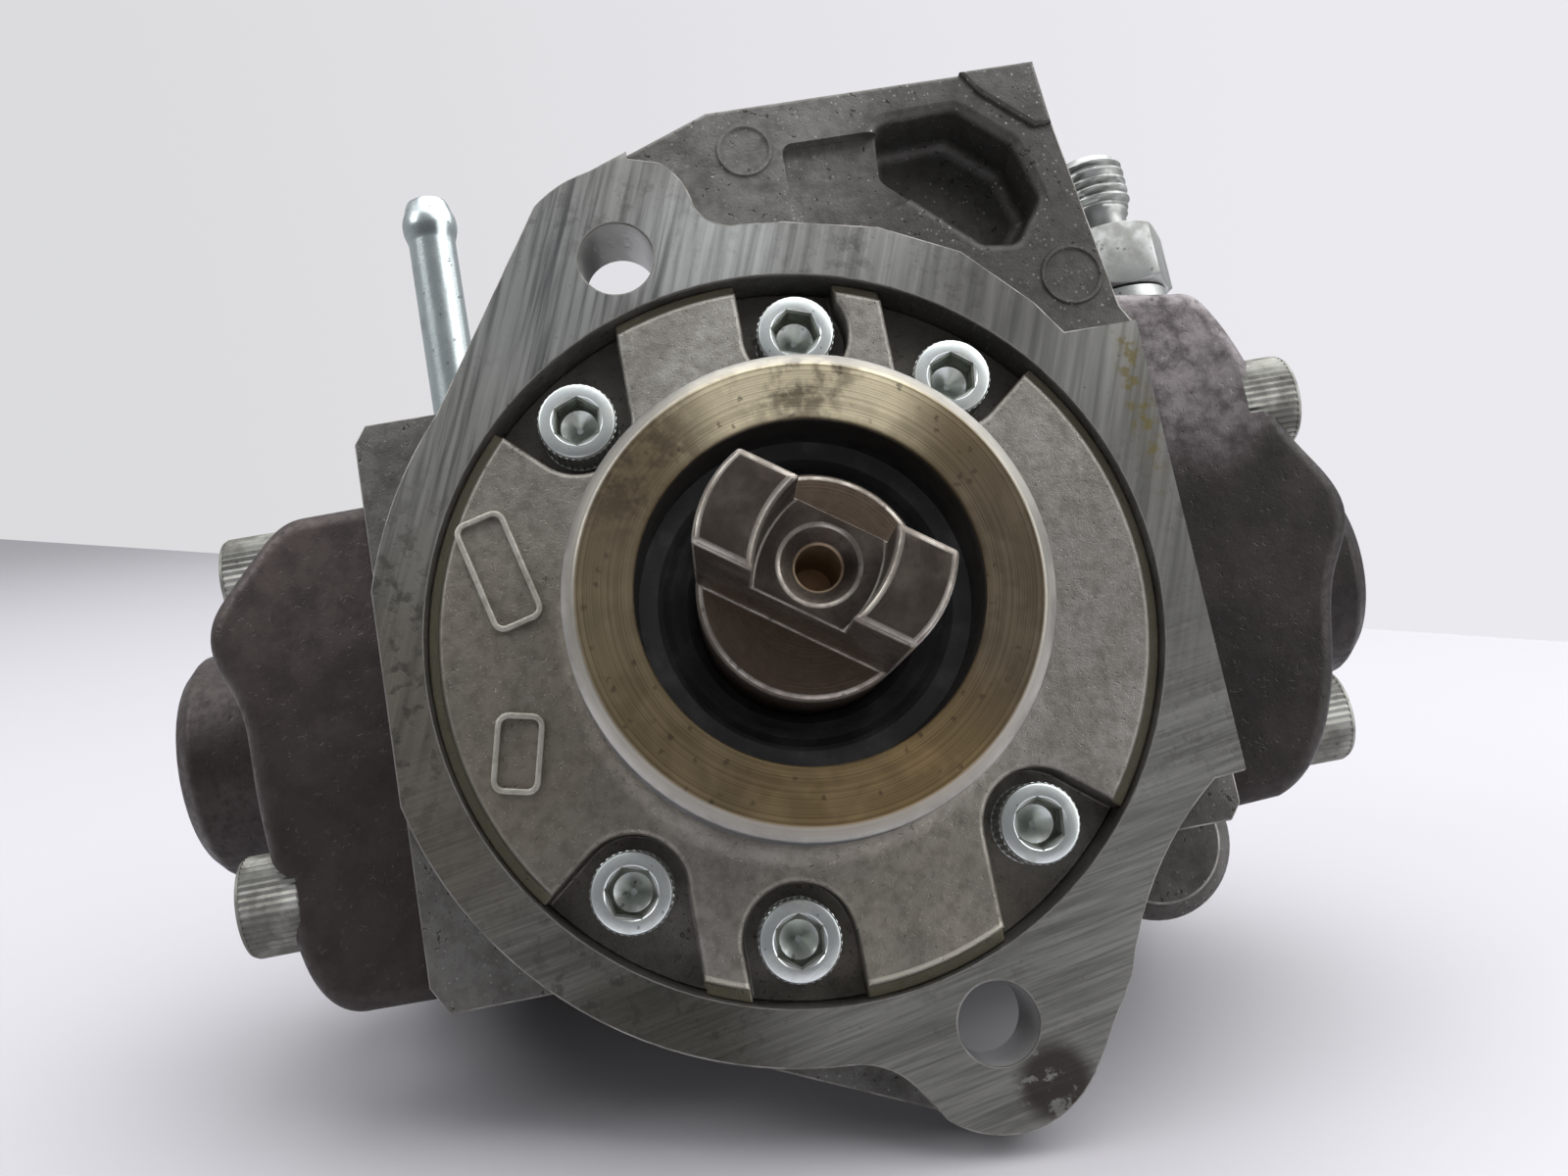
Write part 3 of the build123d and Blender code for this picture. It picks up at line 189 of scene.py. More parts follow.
class Effects:
    """The shader node groups that several finishes share, each built once."""

    _made: dict[str, bpy.types.NodeTree] = {}

    @classmethod
    def _start(cls, name: str, inputs: tuple[str, ...], outputs: tuple[str, ...]) -> tuple:
        """Begin a group that reads a place and values, and puts out values.

        Args:
            name: The group's name.
            inputs: Names of the inputs after Vector.
            outputs: Names of the outputs.

        Returns:
            Its graph, the sockets that it is given and the sockets that it fills.
        """
        tree = bpy.data.node_groups.new(name, "ShaderNodeTree")
        tree.interface.new_socket("Vector", in_out="INPUT", socket_type="NodeSocketVector")
        for way, labels in (("INPUT", inputs), ("OUTPUT", outputs)):
            for label in labels:
                tree.interface.new_socket(label, in_out=way, socket_type="NodeSocketFloat")
        cls._made[name] = tree
        return Graph(tree), tree.nodes.new("NodeGroupInput").outputs, tree.nodes.new("NodeGroupOutput").inputs

    @classmethod
    def place(cls, graph: Graph, name: str, inputs: dict[str, object]) -> Node:
        """Put a shared group into a material.

        Args:
            graph: The material's graph.
            name: Which effect.
            inputs: The values for its inputs.

        Returns:
            The group node.
        """
        if name not in cls._made:
            getattr(cls, "_" + name)()
        return graph.node("Group", inputs, node_tree=cls._made[name])

    @classmethod
    def _blotches(cls) -> None:
        """Build soft patches: oil, patina or rust that covers a share of the surface."""
        g, given, result = cls._start("blotches", ("Size", "Cover", "Soft"), ("Mask",))
        wide = g.noise(given["Vector"], given["Size"], 6.0, 0.62)
        middle = g.minus(0.74, g.times(given["Cover"], 0.48))
        low, high = g.minus(middle, given["Soft"]), g.plus(middle, given["Soft"])
        g.put(result["Mask"], g.step(wide, low, high))

    @classmethod
    def _cast_skin(cls) -> None:
        """Build the skin of a die casting: fine grain, with pits and painted glints on bright crystals."""
        g, given, result = cls._start("cast_skin", ("Size",), ("Height", "Pits", "Sparkle"))
        vector, size = given["Vector"], given["Size"]
        fine = g.noise(vector, size, 3.0, 0.7)
        coarse = g.noise(vector, g.times(size, 7.0), 3.0, 0.5)
        elsewhere = g.along(vector, "ADD", (31.0, 7.0, 11.0))
        pits = g.step(g.noise(elsewhere, g.times(size, 2.6), 2.0, 0.6), 0.64, 0.72)
        cells = g.node("TexVoronoi", {"Vector": vector, "Scale": g.math("DIVIDE", 0.8, size)})
        tone = g.node("SeparateColor", {0: cells.outputs["Color"]}).outputs[0]
        near = g.step(cells.outputs["Distance"], 0.42, 0.16)
        g.put(result["Sparkle"], g.times(g.step(tone, 0.84, 0.97), near))
        g.put(result["Height"], g.minus(g.plus(g.times(fine, 0.6), coarse), g.times(pits, 0.8)))
        g.put(result["Pits"], pits)

    @classmethod
    def _cutter_lay(cls) -> None:
        """Build the straight or slightly bowed lines that a face cutter leaves."""
        g, given, result = cls._start("cutter_lay", ("Angle", "Pitch"), ("Tone",))
        turn = {"Vector": given["Vector"], "Angle": given["Angle"]}
        turned = g.node("VectorRotate", turn, rotation_type="Y_AXIS").outputs[0]
        squeezed = g.along(turned, "MULTIPLY", (0.035, 1.0, 1.0))
        lines = g.noise(squeezed, given["Pitch"], 3.0, 0.6)
        bands = g.noise(squeezed, g.times(given["Pitch"], 9.0), 2.0, 0.5)
        g.put(result["Tone"], g.plus(g.times(lines, 0.55), g.times(bands, 0.45)))

    @classmethod
    def _turning(cls) -> None:
        """Build the fine concentric lines of a turned face around the shaft axis."""
        g, given, result = cls._start("turning", ("Pitch",), ("Tone",))
        x, y, z = g.node("SeparateXYZ", {0: given["Vector"]}).outputs
        line = g.node("CombineXYZ", {0: g.away(x, z), 1: y, 2: 0.0}).outputs[0]
        g.put(result["Tone"], g.noise(line, given["Pitch"], 3.0, 0.65))

    @classmethod
    def _specks(cls) -> None:
        """Build small separate specks, such as corrosion spots or grit."""
        g, given, result = cls._start("specks", ("Size", "Share"), ("Mask",))
        wobble = g.noise(given["Vector"], given["Size"], 2.0, 0.6)
        moved = g.along(given["Vector"], "ADD", wobble)
        cells = g.node("TexVoronoi", {"Vector": moved, "Scale": g.math("DIVIDE", 0.6, given["Size"])})
        pick = g.node("SeparateColor", {0: cells.outputs["Color"]}).outputs[1]
        chosen = g.step(pick, g.minus(1.0, given["Share"]), g.minus(1.03, given["Share"]))
        g.put(result["Mask"], g.times(chosen, g.step(cells.outputs["Distance"], 0.46, 0.22)))


class Skin(Graph):
    """The node tree of a material, with its shader and its place on the surface."""

    def __init__(self, tree: bpy.types.NodeTree) -> None:
        """Set up the shader, the output and the place in millimetres.

        Args:
            tree: The material's node tree, which is cleared.
        """
        super().__init__(tree)
        tree.nodes.clear()
        self.shader = self.node("BsdfPrincipled")
        self.output = self.node("OutputMaterial", {"Surface": self.shader.outputs[0]})
        place = self.node("TexCoord").outputs["Object"]
        self.vector = self.node("VectorMath", {0: place, "Scale": 1000.0}, operation="SCALE").outputs[0]

    @cached_property
    def axes(self) -> tuple[Socket, ...]:
        """Give the sockets of X, Y and Z in millimetres."""
        return tuple(self.node("SeparateXYZ", {0: self.vector}).outputs)

    def effect(self, name: str, shift: tuple = (), **inputs: float) -> Node:
        """Place a shared effect on the surface.

        Args:
            name: Which effect.
            shift: How far it is moved, in millimetres, so that it differs from its like.
            inputs: Its values.

        Returns:
            The group node.
        """
        vector = self.along(self.vector, "ADD", shift) if shift else self.vector
        return Effects.place(self, name, {"Vector": vector, **inputs})

    def mask(self, name: str, shift: tuple = (), **inputs: float) -> Socket:
        """Give the first output of a shared effect on the surface."""
        return self.effect(name, shift, **inputs).outputs[0]

    def fill(self, color: object, rough: object, metallic: float, height: Socket, depth_mm: float) -> None:
        """Fill the shader's inputs.

        Args:
            color: Base colour.
            rough: Roughness.
            metallic: Metallic share.
            height: Height for the normal, about 0 to 1.
            depth_mm: How deep a height of 1 is.
        """
        bump = self.node("Bump", {"Strength": 1.0, "Distance": depth_mm * MM, "Height": height})
        values = {"Base Color": color, "Roughness": rough, "Metallic": metallic, "Normal": bump.outputs[0]}
        for name, value in values.items():
            self.put(self.shader.inputs[name], value)


@dataclass(frozen=True)
class Disc:
    """A round area of the plane across the shaft axis, in millimetres, with a soft edge."""

    x: float
    z: float
    radius: float
    soft: float

    def mask(self, g: Graph, x: Socket, z: Socket) -> Socket:
        """Give 1 inside the disc and 0 outside."""
        away = g.away(g.minus(x, self.x), g.minus(z, self.z))
        return g.step(away, self.radius + self.soft, self.radius - self.soft)


@dataclass(frozen=True)
class Patch(Disc):
    """A disc with its own tint."""

    tint: Color
    share: float = 0.9

    def over(self, g: Graph, x: Socket, z: Socket, color: object) -> Socket:
        """Lay the tint over a colour."""
        return g.over(color, self.tint, self.mask(g, x, z), self.share)


@dataclass(frozen=True)
class Finish:
    """A finish with a name and a material that is built once."""

    name: str

    def material(self) -> bpy.types.Material:
        """Give the material, built the first time it is asked for.

        Returns:
            The material of this name.
        """
        found = bpy.data.materials.get(self.name)
        if found is None:
            found = bpy.data.materials.new(self.name)
            found.use_nodes = True
            self.paint(Skin(found.node_tree))
        return found

    def paint(self, g: Skin) -> None:
        """Fill the shader, which each kind of finish does in its own way."""
        raise NotImplementedError


@dataclass(frozen=True)
class Casting(Finish):
    """Die-cast aluminium with oil, dust, pits and painted glints on its crystals."""

    light: Color
    dark: Color
    patches: tuple[Patch, ...] = ()
    grain_mm: float = 0.4
    roughness: float = 0.5
    pitting: float = 0.7
    sparkle: float = 0.35
    pit: Color = (0.015, 0.013, 0.011)
    # Colour of the painted glints.
    glint: Color = (0.62, 0.62, 0.60)
    dusty: Color = (0.5, 0.48, 0.45)

    def paint(self, g: Skin) -> None:
        """Fill the shader with cast skin and the piece's machined regions.

        Args:
            g: The material's graph.
        """
        x, _, z = g.axes
        skin = g.effect("cast_skin", Size=self.grain_mm)
        darker = g.mask("blotches", Size=9.0, Cover=0.42, Soft=0.12)
        dust = g.mask("blotches", (60.0, 20.0, 9.0), Size=1.7, Cover=0.42, Soft=0.14)
        color: object = self.light
        for patch in self.patches:
            color = patch.over(g, x, z, color)
        color = g.over(color, self.dark, darker, 0.6)
        color = g.over(color, g.scaled(color, self.dusty), dust, 0.5)
        color = g.over(color, self.pit, skin.outputs["Pits"], self.pitting)
        # Painted glints: bright spots laid on the skin's crystals.
        color = g.over(color, self.glint, skin.outputs["Sparkle"], self.sparkle)
        rough = g.blend(skin.outputs["Sparkle"], self.roughness, 0.25)
        color, rough, height = self.machined(g, color, rough, skin.outputs["Height"])
        g.fill(color, rough, 0.7, height, 0.1)

    def machined(self, g: Skin, color: Socket, rough: Socket, height: Socket) -> tuple[Socket, ...]:
        """Give the colour, roughness and height, which a plain casting leaves as they are."""
        return color, rough, height


@dataclass(frozen=True)
class BodyCasting(Casting):
    """The body's casting, with its milled flange face and bright bolt holes."""

    milled: Color = (0.27, 0.27, 0.255)
    milled_lines: tuple[Color, Color] = ((1.3, 1.3, 1.3), (0.62, 0.62, 0.61))
    milled_tints_and_reflection: tuple[Patch, ...] = ()
    face_depth: Pair = (0.5, 0.3)
    pad_side: Pair = (23.0, 24.0)
    pad_low: Pair = (55.0, 56.0)
    lay_change: Pair = (4.0, -26.0)
    corroded: tuple[Disc, ...] = (Disc(-47.0, 3.0, 20.0, 10.0), Disc(-27.0, -43.0, 15.0, 7.0))
    corrosion: Color = (0.04, 0.038, 0.032)
    bands: Patch = Patch(-32.0, 44.0, 26.0, 9.0, (0.085, 0.085, 0.09), 0.75)
    stain: Patch = Patch(48.4, 0.0, 1.7, 0.9, (0.15, 0.12, 0.035), 0.75)
    stain_middle: float = 22.0
    stain_squeeze: float = 0.14
    lug_spot: Patch = Patch(19.5, -58.6, 4.4, 1.4, (0.04, 0.032, 0.027))
    bolt_holes: tuple[Disc, ...] = (Disc(-14.3, 50.9, 5.05, 0.1), Disc(14.3, -50.9, 5.05, 0.1))
    hole_depth: Pair = (13.0, 12.5)
    bright: Color = (0.50, 0.50, 0.49)

    def machined(self, g: Skin, color: Socket, rough: Socket, height: Socket) -> tuple[Socket, ...]:
        """Add the milled flange face, its patina, its stains and the bright bolt holes.

        Args:
            g: The material's graph.
            color: Colour of the cast skin.
            rough: Roughness of the cast skin.
            height: Height of the cast skin.

        Returns:
            The colour, roughness and height with the regions in them.
        """
        x, y, z = g.axes
        pad = g.times(g.step(x, *self.pad_side), g.step(z, *self.pad_low))
        face = g.times(g.step(y, *self.face_depth), g.minus(1.0, pad))
        steep = g.mask("cutter_lay", Angle=1.2, Pitch=1.1)
        fine = g.mask("cutter_lay", Angle=0.16, Pitch=0.42)
        tone = g.blend(g.step(z, *self.lay_change), steep, fine)
        milled: object = self.milled
        # Lay the face's tints and its painted reflection streak.
        for patch in self.milled_tints_and_reflection:
            milled = patch.over(g, x, z, milled)
        milled = g.lined(milled, tone, *self.milled_lines)
        mottle = g.mask("blotches", Size=2.6, Cover=0.4, Soft=0.07)
        wide = g.mask("blotches", (4.0, 8.0, 2.0), Size=18.0, Cover=0.4, Soft=0.1)
        near = g.plus(*(disc.mask(g, x, z) for disc in self.corroded), True)
        spots = g.times(mottle, g.math("MAXIMUM", g.times(near, 0.95), g.times(wide, 0.6)))
        milled = g.over(milled, self.corrosion, spots, 0.8)
        pits = g.mask("specks", Size=0.8, Share=0.14)
        milled = g.over(milled, self.corrosion, pits, 0.6)
        height_above = g.times(g.minus(z, self.stain_middle), self.stain_squeeze)
        for patch, level, break_up in (
            (self.bands, z, g.step(steep, 0.52, 0.4)),
            (self.stain, height_above, g.step(mottle, -0.2, 0.8)),
            (self.lug_spot, z, g.step(mottle, 1.0, 0.3)),
        ):
            milled = g.over(milled, patch.tint, g.times(patch.mask(g, x, level), break_up), patch.share)
        color = g.mix(face, color, milled)
        rough = g.blend(face, rough, g.blend(g.plus(spots, pits, True), 0.4, 0.62))
        worn = g.times(g.plus(spots, pits), -0.25)
        height = g.blend(face, height, g.plus(g.times(tone, 0.25), worn))
        bores = g.plus(*(disc.mask(g, x, z) for disc in self.bolt_holes), True)
        bores = g.times(bores, g.step(y, *self.hole_depth))
        return g.mix(bores, color, self.bright), g.blend(bores, rough, 0.3), height


@dataclass(frozen=True)
class CoverCasting(Casting):
    """The cover's casting, with painted shade on its pocket floors and its turned, stained pilot ring, which has a
    painted highlight at its top and painted shade at its right.
    """

    pocket_depth: Pair = (2.6, 5.6)
    # Painted shade on the pocket floors: the heights over which its share rises, and its colour.
    pocket_shade_levels: Pair = (-12.0, 20.0)
    pocket_shade: Color = (0.10, 0.091, 0.078)
    rim: Color = (0.40, 0.385, 0.34)
    rim_radius: Pair = (43.3, 43.9)
    rim_depth: Pair = (2.2, 1.6)
    strip: Color = (0.55, 0.52, 0.44)
    strip_radius: Pair = (43.15, 43.3)
    strip_level: Pair = (-38.0, -39.5)
    strip_depth: Pair = (1.3, 0.9)
    ledge: Color = (0.20, 0.185, 0.125)
    ledge_radius: Pair = (43.9, 44.1)
    ledge_front: Pair = (1.7, 2.0)
    ledge_back: Pair = (3.4, 2.9)
    hub_radius: Pair = (27.5, 26.9)
    hub_depth: Pair = (-2.6, -3.2)
    flank_depth: Pair = (-23.9, -23.0)
    gold: Color = (0.205, 0.158, 0.088)
    gold_tints_highlight_and_shade: tuple[Patch, ...] = (
        # The bright patch at the top is a painted highlight and the dark patch at the right is painted shade; the left
        # and bottom patches are tints.
        Patch(3.0, 25.0, 13.0, 7.0, (0.98, 0.88, 0.62), 1.0),
        Patch(-24.0, 6.0, 12.0, 8.0, (0.22, 0.18, 0.115)),
        Patch(25.0, -3.0, 16.0, 8.0, (0.115, 0.09, 0.062)),
        Patch(4.0, -23.0, 12.0, 7.0, (0.28, 0.195, 0.09)),
    )
    gold_lines: tuple[Color, Color] = ((1.2, 1.2, 1.2), (0.72, 0.7, 0.68))
    gold_film: Color = (0.16, 0.125, 0.08)
    burnt_places: tuple[Disc, ...] = (Disc(-16.0, 16.0, 8.0, 6.0), Disc(3.0, 24.0, 7.0, 5.0))
    burnt: Color = (0.06, 0.042, 0.027)
    speck: Color = (0.06, 0.045, 0.03)
    ring_edge: Color = (0.36, 0.35, 0.32)
    ring_edge_radius: Pair = (24.7, 25.1)
    silver_light: Color = (0.42, 0.41, 0.38)
    silver_dark: Color = (0.22, 0.21, 0.19)
    seal_bore: Color = (0.06, 0.055, 0.05)
    seal_bore_radius: Pair = (19.0, 18.8)

    def machined(self, g: Skin, color: Socket, rough: Socket, height: Socket) -> tuple[Socket, ...]:
        """Add the pockets, the cover's rim and the pilot ring.

        Args:
            g: The material's graph.
            color: Colour of the cast skin.
            rough: Roughness of the cast skin.
            height: Height of the cast skin.

        Returns:
            The colour, roughness and height with the regions in them.
        """
        x, y, z = g.axes
        radius = g.away(x, z)
        # Painted shade: the pocket floors are darkened, more towards the top.
        floor = g.step(y, *self.pocket_depth)
        painted_shade = g.blend(g.step(z, *self.pocket_shade_levels), 0.35, 0.8)
        color = g.mix(g.times(floor, painted_shade), color, self.pocket_shade)
        rough = g.blend(floor, rough, 0.42)
        rim = g.times(g.step(radius, *self.rim_radius), g.step(y, *self.rim_depth))
        strips = g.times(g.step(radius, *self.strip_radius), g.step(z, *self.strip_level), g.step(y, *self.strip_depth))
        ledge = g.times(g.step(radius, *self.ledge_radius), g.step(y, *self.ledge_front), g.step(y, *self.ledge_back))
        color = g.over(color, self.rim, rim, 0.45)
        color = g.over(color, self.strip, strips, 0.85)
        color = g.over(color, self.ledge, ledge, 0.9)
        lines = g.mask("turning", Pitch=0.2)
        wide = g.mask("blotches", Size=14.0, Cover=0.5, Soft=0.16)
        gold: object = self.gold
        # Lay the ring's tints, its painted highlight at the top and its painted shade at the right.
        for patch in self.gold_tints_highlight_and_shade:
            gold = patch.over(g, x, z, gold)
        gold = g.lined(gold, lines, *self.gold_lines)
        gold = g.over(gold, self.gold_film, wide, 0.35)
        blots = g.mask("blotches", (5.0, 1.0, 3.0), Size=3.6, Cover=0.46, Soft=0.1)
        where = g.math("MAXIMUM", *(disc.mask(g, x, z) for disc in self.burnt_places))
        gold = g.over(gold, self.burnt, g.times(blots, where), 0.85)
        gold = g.over(gold, self.speck, g.mask("specks", Size=0.6, Share=0.07), 0.6)
        gold = g.over(gold, self.ring_edge, g.step(radius, *self.ring_edge_radius), 0.75)
        flank = g.step(y, *self.flank_depth)
        hub_color = g.mix(flank, gold, g.mix(wide, self.silver_light, self.silver_dark))
        hub_color = g.mix(g.times(g.step(radius, *self.seal_bore_radius), flank), hub_color, self.seal_bore)
        hub = g.times(g.step(y, *self.hub_depth), g.step(radius, *self.hub_radius))
        rough = g.blend(hub, rough, g.blend(blots, 0.34, 0.46))
        return g.mix(hub, color, hub_color), rough, g.blend(hub, height, g.times(lines, 0.2))


@dataclass(frozen=True)
class ForgedSteel(Finish):
    """Dark oxidised steel, brown to purple, with painted light that makes it paler and greyer towards its top."""

    base: Color
    # The paler top colour and the heights it is reached between are painted light.
    top: Color
    lit_from: float
    lit_to: float
    mottle: Color
    brown: Color = (0.5, 0.42, 0.36)
    purple: Color = (0.5, 0.46, 0.46)
    pit: Color = (0.016, 0.012, 0.011)

    def paint(self, g: Skin) -> None:
        """Fill the shader with oxide skin.

        Args:
            g: The material's graph.
        """
        skin = g.effect("cast_skin", Size=0.35)
        wide = g.mask("blotches", Size=12.0, Cover=0.45, Soft=0.16)
        middle = g.mask("blotches", (3.0, 9.0, 5.0), Size=4.5, Cover=0.45, Soft=0.1)
        fine = g.mask("blotches", (7.0, 1.0, 5.0), Size=1.3, Cover=0.45, Soft=0.12)
        color = g.over(self.base, self.mottle, wide, 0.7)
        color = g.over(color, g.scaled(color, self.brown), middle, 0.45)
        # Painted light: the colour turns to the paler top colour with height.
        level = g.step(g.plus(g.axes[2], g.times(wide, 7.0)), self.lit_from, self.lit_to)
        color = g.mix(level, color, g.over(self.top, self.mottle, middle, 0.75))
        color = g.over(color, g.scaled(color, self.purple), fine, 0.5)
        pits = g.mask("specks", Size=0.6, Share=0.1)
        color = g.over(color, self.pit, pits, 0.6)
        height = g.minus(skin.outputs["Height"], g.times(pits, 0.6))
        g.fill(color, g.blend(fine, 0.42, 0.56), 0.4, height, 0.07)


@dataclass(frozen=True)
class Plated(Finish):
    """Plated or bare metal with light stains and fine scratches."""

    base: Color
    stain: Color
    stain_cover: float
    roughness: float
    speck: Color = (0.06, 0.055, 0.05)

    def paint(self, g: Skin) -> None:
        """Fill the shader with plating.

        Args:
            g: The material's graph.
        """
        patch = g.mask("blotches", Size=5.0, Cover=self.stain_cover, Soft=0.14)
        color = g.over(self.base, self.stain, patch, 0.75)
        color = g.over(color, self.speck, g.mask("specks", Size=0.45, Share=0.07), 0.6)
        rough = g.blend(patch, self.roughness, self.roughness + 0.2)
        g.fill(color, rough, 0.95, g.mask("cutter_lay", Angle=0.5, Pitch=0.3), 0.02)


@dataclass(frozen=True)
class ShaftSteel(Finish):
    """Ground steel gone brown, with rubbed lighter places and a lighter centre hole."""

    base: Color = (0.068, 0.054, 0.045)
    rubbed: Color = (0.135, 0.113, 0.096)
    shade: Color = (0.028, 0.021, 0.016)
    behind: Color = (0.12, 0.085, 0.058)
    behind_from: Pair = (-34.0, -26.0)
    drilled: Color = (0.52, 0.40, 0.28)
    drilled_radius: Pair = (2.6, 2.4)

    def paint(self, g: Skin) -> None:
        """Fill the shader with browned steel.

        Args:
            g: The material's graph.
        """
        x, y, z = g.axes
        patch = g.mask("blotches", Size=5.0, Cover=0.4, Soft=0.16)
        fine = g.mask("blotches", (8.0, 2.0, 1.0), Size=0.9, Cover=0.4, Soft=0.14)
        color = g.over(g.mix(patch, self.base, self.rubbed), self.shade, fine, 0.4)
        color = g.over(color, self.behind, g.step(y, *self.behind_from), 0.7)
        color = g.mix(g.step(g.away(x, z), *self.drilled_radius), color, self.drilled)
        g.fill(color, g.blend(fine, 0.4, 0.55), 0.85, g.mask("turning", Pitch=0.3), 0.03)


@dataclass(frozen=True)
class Dark(Finish):
    """Black rubber or plastic with a faint grain and dust."""

    base: Color
    roughness: float
    grain_mm: float

    def paint(self, g: Skin) -> None:
        """Fill the shader with a black, lightly dusty skin.

        Args:
            g: The material's graph.
        """
        dust = g.mask("blotches", Size=4.0, Cover=0.3, Soft=0.16)
        lighter = tuple(2.6 * part + 0.006 for part in self.base)
        rough = g.blend(dust, self.roughness, self.roughness + 0.18)
        g.fill(g.over(self.base, lighter, dust, 0.6), rough, 0.0, g.noise(g.vector, self.grain_mm, 3.0, 0.6), 0.03)


@dataclass(frozen=True)
class FloorPaint(Finish):
    """White table with faint scratches, seen through from below."""

    base: Color = (0.60, 0.59, 0.625)
    scratch: Color = (0.62, 0.61, 0.60)

    def paint(self, g: Skin) -> None:
        """Fill the shader with white paint and let the underside vanish.

        Args:
            g: The material's graph.
        """
        lines = g.step(g.mask("cutter_lay", Angle=0.35, Pitch=1.2), 0.57, 0.66)
        marks = g.mask("blotches", Size=60.0, Cover=0.35, Soft=0.1)
        g.put(g.shader.inputs["Base Color"], g.over(self.base, self.scratch, g.times(lines, marks), 0.35))
        g.put(g.shader.inputs["Roughness"], 0.42)
        clear = g.node("BsdfTransparent").outputs[0]
        back = g.node("NewGeometry").outputs["Backfacing"]
        both = g.node("MixShader", {0: back, 1: g.shader.outputs[0], 2: clear}).outputs[0]
        g.put(g.output.inputs["Surface"], both)


BODY_CAST = BodyCasting(
    "body_cast", (0.175, 0.172, 0.163), (0.07, 0.066, 0.06),
    patches=(
        Patch(16.0, 58.0, 9.0, 6.0, (0.26, 0.255, 0.24)),
        Patch(34.0, 48.0, 22.0, 14.0, (0.066, 0.063, 0.058)),
        Patch(44.0, -40.0, 14.0, 5.0, (0.11, 0.105, 0.097)),
    ),
    milled_tints_and_reflection=(
        Patch(-26.0, 50.0, 14.0, 9.0, (0.26, 0.265, 0.26)),
        # A painted reflection: the bright streak beside the upper bolt hole.
        Patch(-2.0, 50.5, 9.0, 6.0, (0.46, 0.47, 0.465)),
        Patch(-50.0, -8.0, 26.0, 15.0, (0.15, 0.138, 0.112)),
        Patch(-26.0, -48.0, 16.0, 10.0, (0.058, 0.056, 0.043)),
        Patch(14.0, -52.0, 15.0, 9.0, (0.22, 0.22, 0.205)),
        Patch(52.0, 2.0, 26.0, 12.0, (0.18, 0.178, 0.168)),
        Patch(34.0, 38.0, 10.0, 7.0, (0.14, 0.138, 0.13)),
    ),
)
COVER_CAST = CoverCasting(
    "cover_cast", (0.30, 0.287, 0.262), (0.18, 0.168, 0.147),
    patches=(
        Patch(-40.0, -6.0, 25.0, 16.0, (0.22, 0.195, 0.155)),
        Patch(8.0, -42.0, 22.0, 12.0, (0.30, 0.275, 0.23)),
        Patch(-12.0, 42.0, 14.0, 9.0, (0.38, 0.37, 0.335)),
        Patch(41.0, 2.0, 16.0, 10.0, (0.225, 0.215, 0.196)),
    ),
    grain_mm=0.22, roughness=0.42, pitting=0.3, sparkle=0.6,
)
# Lighter cast on the cover's rounded edges: painted highlight along its edges.
COVER_EDGE = CoverCasting(
    "cover_edge", (0.46, 0.44, 0.40), (0.27, 0.255, 0.225), grain_mm=0.22, roughness=0.38, pitting=0.2,
)
# Raised frames painted lighter than the cover: painted highlight on their ridges.
FRAME_CAST = Casting(
    "frame_cast", (0.50, 0.48, 0.43), (0.32, 0.30, 0.26), grain_mm=0.22, roughness=0.4, pitting=0.2,
)
REAR_CAST = Casting("rear_cast", (0.26, 0.255, 0.24), (0.13, 0.125, 0.115))
# Rounded edges of the body: lighter metal for edge wear and a painted highlight.
EDGE_METAL = Plated("worn_edge_and_highlight", (0.34, 0.33, 0.31), (0.14, 0.135, 0.12), 0.5, 0.4)
# Painted shade inside the screw and bolt sockets, darker than their zinc.
SOCKET_SHADE = Plated("socket_shade", (0.30, 0.325, 0.28), (0.10, 0.105, 0.085), 0.45, 0.4)
BOLT_SOCKET_SHADE = Plated("bolt_socket_shade", (0.12, 0.115, 0.10), (0.04, 0.038, 0.034), 0.5, 0.5)
SCREW_ZINC = Plated("screw_zinc", (0.78, 0.83, 0.82), (0.45, 0.47, 0.43), 0.3, 0.3)
BOLT_ZINC = Plated("bolt_zinc", (0.33, 0.33, 0.305), (0.12, 0.115, 0.10), 0.5, 0.42)
FITTING_ZINC = Plated("fitting_zinc", (0.52, 0.58, 0.59), (0.30, 0.33, 0.33), 0.3, 0.26)
UNION_ZINC = Plated("union_zinc", (0.46, 0.475, 0.465), (0.22, 0.22, 0.20), 0.42, 0.34)
COPPER = Plated("washer_copper", (0.40, 0.22, 0.14), (0.18, 0.12, 0.085), 0.5, 0.4)
BRASS = Plated("turned_brass", (0.50, 0.40, 0.20), (0.28, 0.22, 0.12), 0.4, 0.34)
BRONZE = Plated("bush_bronze", (0.42, 0.30, 0.17), (0.25, 0.18, 0.11), 0.4, 0.36)
SPRING_STEEL = Plated("spring_wire", (0.30, 0.30, 0.29), (0.12, 0.11, 0.10), 0.4, 0.34)
# Lighter metal on the shaft's rounded edges: painted highlight lines.
SHAFT_EDGE = Plated("shaft_edge", (0.40, 0.37, 0.33), (0.12, 0.10, 0.085), 0.5, 0.34)
SHAFT = ShaftSteel("browned_steel")
# The two heads' different tones and their paler tops are painted light.
HEAD_RIGHT = ForgedSteel(
    "head_oxide_lit_right", (0.012, 0.009, 0.0075), (0.27, 0.243, 0.25), 12.0, 36.0, (0.042, 0.031, 0.032),
)
HEAD_LEFT = ForgedSteel(
    "head_oxide_lit_left", (0.032, 0.025, 0.022), (0.09, 0.072, 0.066), -10.0, 30.0, (0.048, 0.037, 0.036),
)
RUBBER = Dark("black_rubber", (0.055, 0.055, 0.056), 0.38, 0.6)
PLASTIC = Dark("moulded_plastic", (0.022, 0.022, 0.024), 0.5, 0.35)


